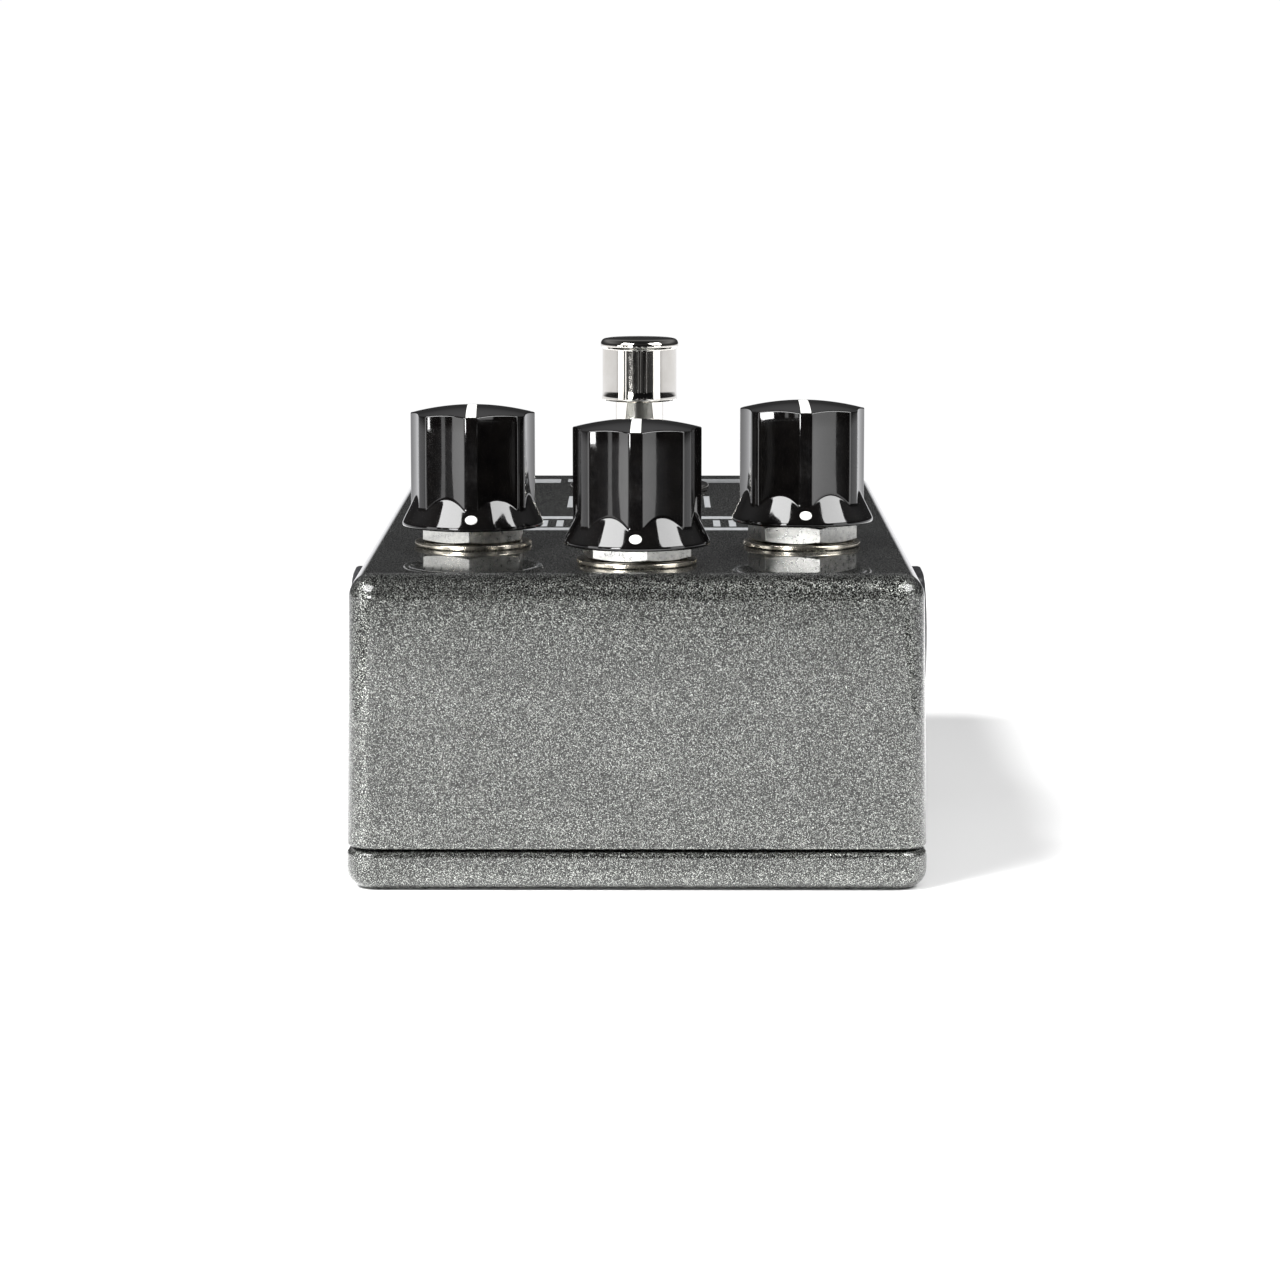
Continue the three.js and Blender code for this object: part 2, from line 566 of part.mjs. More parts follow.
// Jack pieces are turned about Z, with +Z pointing out of the socket, then laid along X.
function jackHousing() {
  const box = block([-JACK_HALF, -JACK_HALF, JACK_BACK], [JACK_HALF, JACK_HALF, jackFront]);
  const sleeve = rod(SLEEVE_R, jackFront - 1, JACK_FACE - 0.2, 28);
  const bore = rod(PLUG_R, JACK_BACK - 1, JACK_FACE + 1, 28);
  const tipSlot = block([-1.6, 0, JACK_BACK + 2], [1.6, JACK_HALF + 1, JACK_BACK + 14]);
  const sleeveSlot = block([-1.6, -JACK_HALF - 1, JACK_BACK + 12], [1.6, 0, JACK_BACK + 22]);
  return cut(join(box, sleeve), bore, tipSlot, sleeveSlot);
}

function jackNut() {
  const foot = wallAtJack + SEAT;
  const edge = 0.5;
  return turned([
    [SLEEVE_R + 0.2, foot], [JACK_NUT_R, foot], [JACK_NUT_R, JACK_FACE - edge],
    [JACK_NUT_R - edge, JACK_FACE], [SLEEVE_R + 0.2, JACK_FACE], [SLEEVE_R + 0.2, foot],
  ], 36);
}

// A bent leaf contact: a flat spring with a raised nose next to the bore.
function contactLeaf(length, side) {
  const leaf = block([-1.2, PLUG_R + 1.4, 0], [1.2, PLUG_R + 1.8, length]);
  const nose = block([-1.2, PLUG_R + 0.4, length * 0.3], [1.2, PLUG_R + 1.5, length * 0.3 + 1.6]);
  const tail = block([-1.2, PLUG_R + 1.5, length - 0.5], [1.2, JACK_HALF + 1.5, length]);
  return join(leaf, nose, tail).rotateZ(side > 0 ? 0 : Math.PI);
}

for (const [name, side] of [['input', -1], ['output', 1]]) {
  // turning by +90 degrees about Y points +Z along +X, and by -90 along -X
  const place = { at: [0, JACK_Y, JACK_Z], turnY: 90 * side };
  addPiece(`${name}_jack_housing`, jackHousing(), MATERIALS.blackPlastic, place);
  addPiece(`${name}_jack_nut`, jackNut(), MATERIALS.blackPlastic, place);
  addPiece(`${name}_jack_tip_contact`, contactLeaf(10, 1).translate(0, 0, JACK_BACK + 3),
    MATERIALS.steel, place);
  addPiece(`${name}_jack_sleeve_contact`, contactLeaf(8, -1).translate(0, 0, JACK_BACK + 13),
    MATERIALS.steel, place);
}

// ---------- DC power socket ----------
const DC_FACE = halfXAt(DC_Z) - WALL - 0.6;
const DC_HALF = [4.5, 5.5];
const DC_DEPTH = 14.0;
const DC_BORE_R = 3.1;
const DC_BORE_DEPTH = 10.5;
const DC_PIN_R = 1.0;
const DC_NOSE_R = DC_HOLE_R - FIT;
const DC_NOSE_FACE = halfXAt(DC_Z + DC_HOLE_R) - 0.4;

// The housing's round nose stands in the wall's hole, a little short of the outer face.
function dcHousing() {
  const box = block([-DC_HALF[0], -DC_HALF[1], DC_FACE - DC_DEPTH], [...DC_HALF, DC_FACE]);
  const nose = rod(DC_NOSE_R, DC_FACE - 1, DC_NOSE_FACE);
  const bore = rod(DC_BORE_R, DC_FACE - DC_BORE_DEPTH, DC_NOSE_FACE + 1);
  const pinHole = rod(DC_PIN_R + 0.15, DC_FACE - DC_DEPTH - 1, DC_FACE - DC_BORE_DEPTH + 0.5, 12);
  return cut(join(box, nose), bore, pinHole);
}

const dcPin = () => turned([
  [0, DC_FACE - DC_DEPTH + 1], [DC_PIN_R, DC_FACE - DC_DEPTH + 1], [DC_PIN_R, DC_FACE - 1.6],
  [DC_PIN_R - 0.4, DC_FACE - 1.1], [0, DC_FACE - 1.1],
], 12);
const dcPlace = { at: [0, DC_Y, DC_Z], turnY: -90 };
addPiece('dc_socket_housing', dcHousing(), MATERIALS.blackPlastic, dcPlace);
addPiece('dc_socket_pin', dcPin(), MATERIALS.nickel, dcPlace);

// ---------- status light ----------
const ledAt = { at: [0, LED_Y, 0] };
const LENS_R = 2.45;
const LENS_RIM_R = 2.9;
const BEZEL_BORE_R = 2.6;
const BEZEL_FLANGE_R = 4.1;
const BEZEL_FOOT = HEIGHT - 4.5;
addPiece('led_bezel', turned([
  [BEZEL_BORE_R, BEZEL_FOOT], [BEZEL_R, BEZEL_FOOT], [BEZEL_R, HEIGHT + SEAT],
  [BEZEL_FLANGE_R, HEIGHT + SEAT], [BEZEL_FLANGE_R, HEIGHT + 0.5], [3.5, HEIGHT + 1.0],
  [BEZEL_BORE_R, HEIGHT + 0.8], [BEZEL_BORE_R, BEZEL_FOOT],
]), MATERIALS.nickel, ledAt);
addPiece('status_led', turned([
  [0, HEIGHT - 7.3], [LENS_RIM_R, HEIGHT - 7.3], [LENS_RIM_R, HEIGHT - 6.3],
  [LENS_R, HEIGHT - 6.3], [LENS_R, HEIGHT - 0.9], [2.12, HEIGHT + 0.4], [1.2, HEIGHT + 1.2],
  [0, HEIGHT + 1.5],
]), MATERIALS.lens, ledAt);

// ---------- battery, its pad and its snap ----------
const CELL_X0 = -25.0;
const CELL_LENGTH = 46.4;
const CELL_Y0 = 5.4;
const CELL_THICK = 17.3;
const CELL_TALL = 26.4;
const CELL_FOOT = FLOOR + 1.0;
const cellX1 = CELL_X0 + CELL_LENGTH;
const cellMidY = CELL_Y0 + CELL_THICK / 2;
const cellMidZ = CELL_FOOT + CELL_TALL / 2;
const STUD_SPREAD = 6.35;

function battery() {
  const can = slab(roundedRect(CELL_THICK / 2, CELL_TALL / 2, 1.8), 0, CELL_LENGTH, 0.5, 1, 1);
  const studs = [-1, 1].map((side) => rod(side > 0 ? 2.9 : 3.8, CELL_LENGTH - 1, CELL_LENGTH + 2, 16)
    .translate(0, side * STUD_SPREAD, 0));
  return join(can, ...studs);
}

function batterySnap() {
  const plate = slab(roundedRect(6.2, 12.6, 2.5), 2.2, 4.4, 0.4, 1, 1);
  const cups = [-1, 1].map((side) => rod(5.0, 0.6, 3, 16).translate(0, side * STUD_SPREAD, 0));
  const holes = [-1, 1].map((side) => rod(side > 0 ? 3.2 : 4.1, 0, 2.4, 16)
    .translate(0, side * STUD_SPREAD, 0));
  return cut(join(plate, ...cups), ...holes);
}

// Battery pieces are made standing on Z, then laid along X with their length.
const cellTurn = (geometry) => geometry.rotateZ(Math.PI / 2).rotateY(Math.PI / 2);
addPiece('battery', cellTurn(battery()), MATERIALS.cell, { at: [CELL_X0, cellMidY, cellMidZ] });
addPiece('battery_snap', cellTurn(batterySnap()), MATERIALS.blackPlastic,
  { at: [cellX1, cellMidY, cellMidZ] });
addPiece('battery_pad', block([CELL_X0, CELL_Y0, FLOOR + SEAT],
  [cellX1, CELL_Y0 + CELL_THICK, CELL_FOOT - SEAT]), MATERIALS.foam);

// ---------- wiring ----------
const LEAD_R = 0.65;
const snapMidX = cellX1 + 3.3;
// A lead from the snap's edge, under the output jack, up to the main board; row is 0 or 1.
function snapLead(row) {
  const height = 7 + 2 * row;
  const padX = 22 - 2.4 * row;
  return bar([
    [snapMidX, cellMidY - 6.5, height], [snapMidX, 2, height], [snapMidX - 0.5, -6, height],
    [23 - 1.5 * row, -14, height + 1], [padX, -17.5, 14], [padX, -17.8, BOARD_UNDER - 2 * SEAT],
  ], LEAD_R, 16, 6);
}
addPiece('battery_lead_red', snapLead(0), MATERIALS.redWire);
addPiece('battery_lead_black', snapLead(1), MATERIALS.blackWire);

// A flat cable from the main board, over the jacks and the battery, down to the switch board.
function ribbonCable() {
  const thick = 0.7;
  const route = [
    [BOARD_BACK - 3, BOARD_TOP + SEAT], [BOARD_BACK - 3, 27.8], [BOARD_BACK - 1.5, 29.6],
    [BOARD_BACK + 1, 30.3], [22.6, 30.3], [24.0, 29.4], [24.3, 27.0],
    [24.3, 19.0], [24.7, 15.6], [25.6, SWITCH_BOARD_TOP + 0.4],
  ];
  const shape = new THREE.Shape();
  const side = (points, offset) => points.map(([y, z], i) => {
    const [ya, za] = points[Math.max(i - 1, 0)];
    const [yb, zb] = points[Math.min(i + 1, points.length - 1)];
    const run = Math.hypot(yb - ya, zb - za);
    return [y - ((zb - za) / run) * offset, z + ((yb - ya) / run) * offset];
  });
  const outline = [...side(route, thick / 2), ...side(route, -thick / 2).reverse()];
  outline.forEach(([y, z], i) => (i ? shape.lineTo(y, z) : shape.moveTo(y, z)));
  const cable = new THREE.ExtrudeGeometry(shape, { depth: 7, bevelEnabled: false });
  return closed(cable.rotateZ(Math.PI / 2).rotateY(Math.PI / 2));
}
addPiece('ribbon_cable', ribbonCable(), MATERIALS.ribbon, { at: [4.2, 0, 0] });

export default pedal;
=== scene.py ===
"""The looks of a three-knob guitar effects pedal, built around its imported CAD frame.

Everything is in metres with +Z up, in the CAD's own frame: knob end at -Y, footswitch end at +Y.
Sizes below are millimetres times MM.
"""
import json
import math

import bmesh
import bpy
from mathutils import Matrix, Vector


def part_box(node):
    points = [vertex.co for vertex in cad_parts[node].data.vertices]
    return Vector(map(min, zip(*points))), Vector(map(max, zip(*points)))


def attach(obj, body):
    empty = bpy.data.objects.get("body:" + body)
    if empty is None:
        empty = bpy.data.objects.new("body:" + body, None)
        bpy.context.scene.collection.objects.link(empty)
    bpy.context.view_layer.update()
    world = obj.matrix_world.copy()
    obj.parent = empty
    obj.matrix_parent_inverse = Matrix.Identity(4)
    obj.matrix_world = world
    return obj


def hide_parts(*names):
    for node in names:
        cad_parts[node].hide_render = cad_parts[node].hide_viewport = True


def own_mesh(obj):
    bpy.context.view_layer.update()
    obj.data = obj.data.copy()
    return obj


MM = 0.001
TAU = 2 * math.pi

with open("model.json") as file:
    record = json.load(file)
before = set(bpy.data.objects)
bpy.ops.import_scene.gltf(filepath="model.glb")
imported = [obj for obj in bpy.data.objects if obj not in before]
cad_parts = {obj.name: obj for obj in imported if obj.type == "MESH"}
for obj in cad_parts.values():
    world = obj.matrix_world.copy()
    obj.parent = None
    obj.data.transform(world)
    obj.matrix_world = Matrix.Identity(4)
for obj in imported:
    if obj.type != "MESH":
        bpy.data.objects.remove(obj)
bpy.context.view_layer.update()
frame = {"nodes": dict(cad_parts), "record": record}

# ---------- places read from the frame ----------
box_low, box_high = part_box("enclosure")
plate_low, plate_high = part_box("base_plate")
LENGTH = plate_high.y - plate_low.y
WIDTH = plate_high.x - plate_low.x
TOP = box_high.z
SEAM = box_low.z
POTS = ("left", "centre", "right")
KNOB_TURN = {"left": 1.0, "centre": -1.0, "right": 1.0}
NUT_TURN = {"left": -1.5, "centre": 10.5, "right": 17.0}

# ---------- shapes that the case keeps in both models ----------
DRAFT = 0.0135
CORNER_R = 3.0 * MM
TOP_R = 2.6 * MM
WALL = 2.0 * MM


# =====================================================================
# Mesh helpers
# =====================================================================

def link(obj):
    bpy.context.scene.collection.objects.link(obj)
    return obj


def make_mesh(name, verts, faces, sharp=35.0):
    """A mesh object with outward faces, shaded smooth up to the sharp angle."""
    mesh = bpy.data.meshes.new(name)
    mesh.from_pydata([tuple(v) for v in verts], [], faces)
    bm = bmesh.new()
    bm.from_mesh(mesh)
    bmesh.ops.remove_doubles(bm, verts=bm.verts, dist=1e-7)
    bmesh.ops.recalc_face_normals(bm, faces=bm.faces)
    bm.to_mesh(mesh)
    bm.free()
    shade(mesh, sharp)
    return link(bpy.data.objects.new(name, mesh))


def shade(mesh, sharp=35.0):
    mesh.polygons.foreach_set("use_smooth", [True] * len(mesh.polygons))
    mesh.set_sharp_from_angle(angle=math.radians(sharp))


def apply_modifiers(obj, sharp=35.0):
    """Replace the object's mesh by what its modifiers make of it."""
    graph = bpy.context.evaluated_depsgraph_get()
    graph.update()
    mesh = bpy.data.meshes.new_from_object(obj.evaluated_get(graph))
    obj.modifiers.clear()
    obj.data = mesh
    shade(mesh, sharp)
    return obj


def weighted(obj):
    """Keep flat faces flat where they meet rounded edges."""
    modifier = obj.modifiers.new("weighted", "WEIGHTED_NORMAL")
    modifier.keep_sharp = True
    modifier.weight = 80
    return obj


def boolean(obj, tools, operation="DIFFERENCE", sharp=35.0):
    """Cut the tools out of obj, or join them to it, and drop the tools."""
    for tool in tools:
        modifier = obj.modifiers.new("boolean", "BOOLEAN")
        modifier.operation = operation
        modifier.solver = "EXACT"
        modifier.object = tool
    apply_modifiers(obj, sharp)
    for tool in tools:
        bpy.data.objects.remove(tool)
    return obj


def soften(obj, width, segments=2, angle=30.0, sharp=35.0):
    """A small round on every edge sharper than the angle."""
    modifier = obj.modifiers.new("bevel", "BEVEL")
    modifier.width = width
    modifier.segments = segments
    modifier.limit_method = "ANGLE"
    modifier.angle_limit = math.radians(angle)
    modifier.harden_normals = False
    return apply_modifiers(obj, sharp)


def skin(rings, closed_profile=False):
    """Quads between rings of equal length, each ring closing on itself, with both ends filled."""
    count = len(rings[0])
    verts = [v for ring in rings for v in ring]
    pairs = list(zip(range(len(rings) - 1), range(1, len(rings))))
    if closed_profile:
        pairs.append((len(rings) - 1, 0))
    faces = []
    for a, b in pairs:
        for i in range(count):
            j = (i + 1) % count
            faces.append((a * count + i, a * count + j, b * count + j, b * count + i))
    if not closed_profile:
        faces.append(tuple(range(count)))
        faces.append(tuple(range((len(rings) - 1) * count, len(rings) * count)))
    return verts, faces


def turned(name, profile, segments=96, sharp=35.0, closed_profile=False):
    """A solid turned about Z from (radius, height) points in millimetres."""
    rings = []
    for r, z in profile:
        radius = max(r, 1e-4) * MM
        rings.append([(radius * math.cos(TAU * i / segments), radius * math.sin(TAU * i / segments),
                       z * MM) for i in range(segments)])
    verts, faces = skin(rings, closed_profile)
    return make_mesh(name, verts, faces, sharp)


def arc(cx, cz, radius, start, end, steps):
    """Points of a profile arc, angles in degrees from the outward direction."""
    return [(cx + radius * math.cos(math.radians(start + (end - start) * i / steps)),
             cz + radius * math.sin(math.radians(start + (end - start) * i / steps)))
            for i in range(steps + 1)]


def rounded_ring(half_x, half_y, radius, z, steps=10):
    """A rounded rectangle at one height, in metres."""
    points = []
    for sx, sy, start in ((1, 1, 0), (-1, 1, 90), (-1, -1, 180), (1, -1, 270)):
        for i in range(steps + 1):
            angle = math.radians(start + 90 * i / steps)
            points.append((sx * (half_x - radius) + radius * math.cos(angle),
                           sy * (half_y - radius) + radius * math.sin(angle), z))
    return points


def rod(name, radius, z0, z1, segments=72):
    return turned(name, [(0, z0), (radius, z0), (radius, z1), (0, z1)], segments)


def placed(obj, x=0.0, y=0.0, z=0.0, turn=0.0, tip=None):
    """Move a piece to a place in metres; tip is an optional rotation matrix put on first."""
    matrix = Matrix.Translation((x, y, z)) @ Matrix.Rotation(math.radians(turn), 4, "Z")
    if tip is not None:
        matrix = matrix @ tip
    obj.matrix_world = matrix
    return obj


def baked(obj, x=0.0, y=0.0, z=0.0, turn=0.0, tip=None):
    """As placed(), but in the mesh itself, for tools and for pieces that join others."""
    placed(obj, x, y, z, turn, tip)
    obj.data.transform(obj.matrix_world)
    obj.matrix_world = Matrix.Identity(4)
    return obj


def cuboid(name, low, high):
    corners = [(x, y, z) for z in (low[2], high[2]) for x, y in
               ((low[0], low[1]), (high[0], low[1]), (high[0], high[1]), (low[0], high[1]))]
    faces = [(0, 1, 2, 3), (4, 5, 6, 7), (0, 1, 5, 4), (1, 2, 6, 5), (2, 3, 7, 6), (3, 0, 4, 7)]
    return make_mesh(name, [tuple(c * MM for c in v) for v in corners], faces)


def middle(node):
    low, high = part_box(node)
    return (low + high) / 2


def finish_piece(obj, body, slot, material, *nodes):
    obj.data.materials.clear()
    obj.data.materials.append(material)
    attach(obj, body)
    if nodes:
        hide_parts(*nodes)
    return obj


# =====================================================================
# Materials
# =====================================================================

class Shader:
    """A small builder for one node material with one Principled shader."""

    def __init__(self, name, **constants):
        self.material = bpy.data.materials.new(name)
        self.material.use_nodes = True
        self.tree = self.material.node_tree
        self.tree.nodes.clear()
        self.principled = self.add("ShaderNodeBsdfPrincipled", **constants)
        output = self.add("ShaderNodeOutputMaterial")
        self.tree.links.new(self.principled.outputs[0], output.inputs[0])
        self.coordinates = self.add("ShaderNodeTexCoord").outputs["Object"]

    def add(self, kind, settings=None, **values):
        node = self.tree.nodes.new(kind)
        for key, value in (settings or {}).items():
            setattr(node, key, value)
        for key, value in values.items():
            self.put(node, key.replace("_", " "), value)
        return node

    def put(self, node, socket, value):
        target = node.inputs[int(socket)] if socket.isdigit() else node.inputs[socket]
        if isinstance(value, bpy.types.NodeSocket):
            self.tree.links.new(value, target)
        else:
            target.default_value = value

    def set(self, socket, value):
        self.put(self.principled, socket, value)

    def noise(self, size, detail=2.0, rough=0.5, stretch=None):
        """Noise from 0 to 1 with features about size metres across."""
        vector = self.coordinates
        if stretch:
            vector = self.add("ShaderNodeVectorMath", {"operation": "MULTIPLY"},
                              **{"0": vector, "1": stretch}).outputs[0]
        node = self.add("ShaderNodeTexNoise", Vector=vector, Scale=1 / size, Detail=detail,
                        Roughness=rough)
        return node.outputs[0]

    def cells(self, size, feature="F1"):
        return self.add("ShaderNodeTexVoronoi", {"feature": feature}, Vector=self.coordinates,
                        Scale=1 / size)

    def ramp(self, factor, *stops):
        """Colours at positions; a stop is (position, grey) or (position, (r, g, b))."""
        node = self.add("ShaderNodeValToRGB", **{"0": factor})
        elements = node.color_ramp.elements
        while len(elements) < len(stops):
            elements.new(0.5)
        for element, (position, colour) in zip(elements, stops):
            element.position = position
            rgb = colour if isinstance(colour, tuple) else (colour,) * 3
            element.color = (*rgb, 1.0)
        return node.outputs[0]

    def math(self, operation, a, b=0.0, clamp=False):
        node = self.add("ShaderNodeMath", {"operation": operation, "use_clamp": clamp},
                        **{"0": a, "1": b})
        return node.outputs[0]

    def mix(self, factor, a, b):
        node = self.add("ShaderNodeMix", {"data_type": "RGBA"})
        for index, value in ((0, factor), (6, a), (7, b)):
            if isinstance(value, bpy.types.NodeSocket):
                self.tree.links.new(value, node.inputs[index])
            elif index == 0:
                node.inputs[0].default_value = value
            else:
                node.inputs[index].default_value = (*value, 1.0)
        return node.outputs[2]

    def bump(self, height, strength, distance, normal=None):
        node = self.add("ShaderNodeBump", Height=height, Strength=strength, Distance=distance)
        if normal is not None:
            self.put(node, "Normal", normal)
        return node.outputs[0]

    def edge_mask(self, radius):
        """Near 1 on convex edges, 0 on flats: the bevelled normal against the true one."""
        bevel = self.add("ShaderNodeBevel", {"samples": 4}, Radius=radius).outputs[0]
        normal = self.add("ShaderNodeNewGeometry").outputs["Normal"]
        dot = self.add("ShaderNodeVectorMath", {"operation": "DOT_PRODUCT"},
                       **{"0": bevel, "1": normal}).outputs["Value"]
        return self.math("SUBTRACT", 1.0, dot, clamp=True)


def flake_coat():
    """Grey metallic flake paint under a smooth clear coat."""
    s = Shader("flake_coat", Metallic=0.9, Coat_Weight=1.0, Coat_Roughness=0.012, Coat_IOR=1.5)
    fine = s.cells(0.055 * MM)
    coarse = s.cells(0.09 * MM)
    tilt = s.add("ShaderNodeVectorMath", {"operation": "SUBTRACT"},
                 **{"0": fine.outputs["Color"], "1": (0.5, 0.5, 0.5)}).outputs[0]
    tilt = s.add("ShaderNodeVectorMath", {"operation": "SCALE"}, **{"0": tilt, "Scale": 0.5}).outputs[0]
    normal = s.add("ShaderNodeNewGeometry").outputs["Normal"]
    flake_normal = s.add("ShaderNodeVectorMath", {"operation": "ADD"},
                         **{"0": normal, "1": tilt}).outputs[0]
    flake_normal = s.add("ShaderNodeVectorMath", {"operation": "NORMALIZE"},
                         **{"0": flake_normal}).outputs[0]
    s.set("Normal", flake_normal)
    shine = s.add("ShaderNodeSeparateColor", Color=fine.outputs["Color"]).outputs[0]
    size = s.add("ShaderNodeSeparateColor", Color=coarse.outputs["Color"]).outputs[1]
    grain = s.math("ADD", s.math("MULTIPLY", shine, 0.8), s.math("MULTIPLY", size, 0.2))
    cloud = s.noise(9 * MM, 3.0)
    tone = s.math("ADD", grain, s.math("MULTIPLY", s.math("SUBTRACT", cloud, 0.5), 0.10))
    s.set("Base Color", s.ramp(tone, (0.15, (0.0015, 0.0016, 0.0014)), (0.48, (0.010, 0.0105, 0.0097)),
                               (0.70, (0.052, 0.0535, 0.050)), (0.88, (0.66, 0.68, 0.64))))
    s.set("Roughness", s.add("ShaderNodeMapRange", Value=size, **{"3": 0.23, "4": 0.38}).outputs[0])
    peel = s.noise(1.6 * MM, 2.0)
    s.set("Coat Normal", s.bump(peel, 0.04, 0.02 * MM))
    return s.material


def polished_nickel():
    s = Shader("polished_nickel", Metallic=1.0)
    haze = s.noise(0.9 * MM, 4.0)
    stain = s.noise(3.5 * MM, 3.0)
    s.set("Base Color", s.ramp(stain, (0.3, (0.70, 0.675, 0.63)), (0.7, (0.80, 0.78, 0.745))))
    s.set("Roughness", s.add("ShaderNodeMapRange", Value=haze, **{"1": 0.35, "2": 0.75, "3": 0.05,
                                                                "4": 0.10}).outputs[0])
    wave = s.noise(1.1 * MM, 2.0, stretch=(1.0, 1.0, 0.2))
    s.set("Normal", s.bump(wave, 0.02, 0.02 * MM))
    return s.material


def zinc_plate():
    s = Shader("zinc_plate", Metallic=1.0)
    mottle = s.noise(0.55 * MM, 5.0, 0.65)
    bloom = s.noise(2.2 * MM, 2.0)
    tone = s.math("ADD", s.math("MULTIPLY", mottle, 0.7), s.math("MULTIPLY", bloom, 0.3))
    s.set("Base Color", s.ramp(tone, (0.32, (0.30, 0.30, 0.295)), (0.55, (0.50, 0.50, 0.48)),
                               (0.75, (0.70, 0.69, 0.66))))
    s.set("Roughness", s.add("ShaderNodeMapRange", Value=mottle, **{"1": 0.3, "2": 0.7, "3": 0.22,
                                                                  "4": 0.42}).outputs[0])
    s.set("Normal", s.bump(mottle, 0.25, 0.02 * MM))
    return s.material


def gloss_black():
    """Polished moulded black plastic with faint handling haze."""
    s = Shader("gloss_black", IOR=1.5, Coat_Weight=0.35, Coat_Roughness=0.02)
    haze = s.noise(1.8 * MM, 4.0, 0.6)
    s.set("Base Color", s.ramp(haze, (0.3, (0.0012, 0.0011, 0.0012)), (0.75, (0.0034, 0.0030, 0.0028))))
    smear = s.noise(0.8 * MM, 3.0)
    s.set("Roughness", s.add("ShaderNodeMapRange", Value=smear, **{"1": 0.4, "2": 0.8, "3": 0.05,
                                                                 "4": 0.13}).outputs[0])
    s.set("Normal", s.bump(s.noise(2.5 * MM, 2.0), 0.06, 0.02 * MM))
    return s.material


def white_mark():
    """Filled or printed white paint, slightly uneven."""
    s = Shader("white_mark", Roughness=0.5)
    wear = s.noise(0.25 * MM, 4.0, 0.6)
    s.set("Base Color", s.ramp(wear, (0.25, (0.40, 0.40, 0.385)), (0.5, (0.56, 0.56, 0.54))))
    s.set("Normal", s.bump(wear, 0.2, 0.01 * MM))
    return s.material


def panel_print():
    """White screen print that has sunk into the gloss, a little thin in places."""
    s = Shader("panel_print", Roughness=0.38, Coat_Weight=0.6, Coat_Roughness=0.05)
    thin = s.noise(0.35 * MM, 3.0, 0.6)
    s.set("Base Color", s.ramp(thin, (0.28, (0.26, 0.27, 0.28)), (0.55, (0.42, 0.43, 0.44))))
    return s.material


def moulded(name, colour, roughness=0.45, grain=0.18, depth=0.5):
    """Moulded plastic: spark-eroded grain, slight colour drift, paler worn edges."""
    s = Shader(name)
    speck = s.noise(grain * MM, 3.0, 0.6)
    drift = s.noise(6 * MM, 2.0)
    dark = tuple(c * 0.8 for c in colour)
    light = tuple(min(1.0, c * 1.25 + 0.004) for c in colour)
    base = s.ramp(s.math("ADD", s.math("MULTIPLY", speck, 0.5), s.math("MULTIPLY", drift, 0.5)),
                  (0.35, dark), (0.65, light))
    worn = tuple(min(1.0, c * 1.8 + 0.03) for c in colour)
    s.set("Base Color", s.mix(s.math("MULTIPLY", s.edge_mask(0.15 * MM), 1.5, clamp=True), base, worn))
    s.set("Roughness", s.add("ShaderNodeMapRange", Value=speck,
                             **{"3": roughness - 0.06, "4": roughness + 0.1}).outputs[0])
    s.set("Normal", s.bump(speck, depth, 0.02 * MM))
    return s.material


def worked_metal(name, colour, roughness, stretch=(1.0, 1.0, 0.08)):
    """Machined or drawn metal with fine tool lines and a little tarnish."""
    s = Shader(name, Metallic=1.0)
    lines = s.noise(0.12 * MM, 3.0, stretch=stretch)
    tarnish = s.noise(2.0 * MM, 4.0)
    dark = tuple(c * 0.7 for c in colour)
    s.set("Base Color", s.ramp(tarnish, (0.35, dark), (0.6, colour)))
    s.set("Roughness", s.add("ShaderNodeMapRange", Value=lines,
                             **{"3": roughness * 0.7, "4": roughness * 1.4}).outputs[0])
    s.set("Normal", s.bump(lines, 0.3, 0.01 * MM))
    return s.material


def led_lens():
    s = Shader("led_lens", Roughness=0.16, Transmission_Weight=0.35, IOR=1.49,
               Subsurface_Weight=0.3, Subsurface_Radius=(0.002, 0.0003, 0.0003))
    s.set("Base Color", s.ramp(s.noise(1.0 * MM, 2.0), (0.3, (0.30, 0.010, 0.010)),
                               (0.7, (0.42, 0.02, 0.015))))
    return s.material


def soft_foam():
    s = Shader("soft_foam", Roughness=0.95, Sheen_Weight=0.2)
    pores = s.cells(0.5 * MM).outputs["Distance"]
    s.set("Base Color", s.ramp(pores, (0.1, (0.02, 0.02, 0.022)), (0.6, (0.075, 0.075, 0.08))))
    s.set("Normal", s.bump(pores, 0.8, 0.15 * MM))
    return s.material


def board_mask():
    """Solder mask with the faint relief of copper tracks under it."""
    s = Shader("board_mask", Coat_Weight=0.4, Coat_Roughness=0.15)
    tracks = s.add("ShaderNodeTexBrick", {"offset": 0.5}, Vector=s.coordinates,
                   Scale=1 / (9 * MM)).outputs["Fac"]
    weave = s.noise(0.4 * MM, 2.0)
    base = s.ramp(weave, (0.3, (0.012, 0.11, 0.045)), (0.7, (0.02, 0.16, 0.07)))
    s.set("Base Color", s.mix(tracks, base, (0.03, 0.24, 0.11)))
    s.set("Roughness", s.add("ShaderNodeMapRange", Value=weave, **{"3": 0.35, "4": 0.5}).outputs[0])
    s.set("Normal", s.bump(tracks, 0.5, 0.04 * MM))
    return s.material


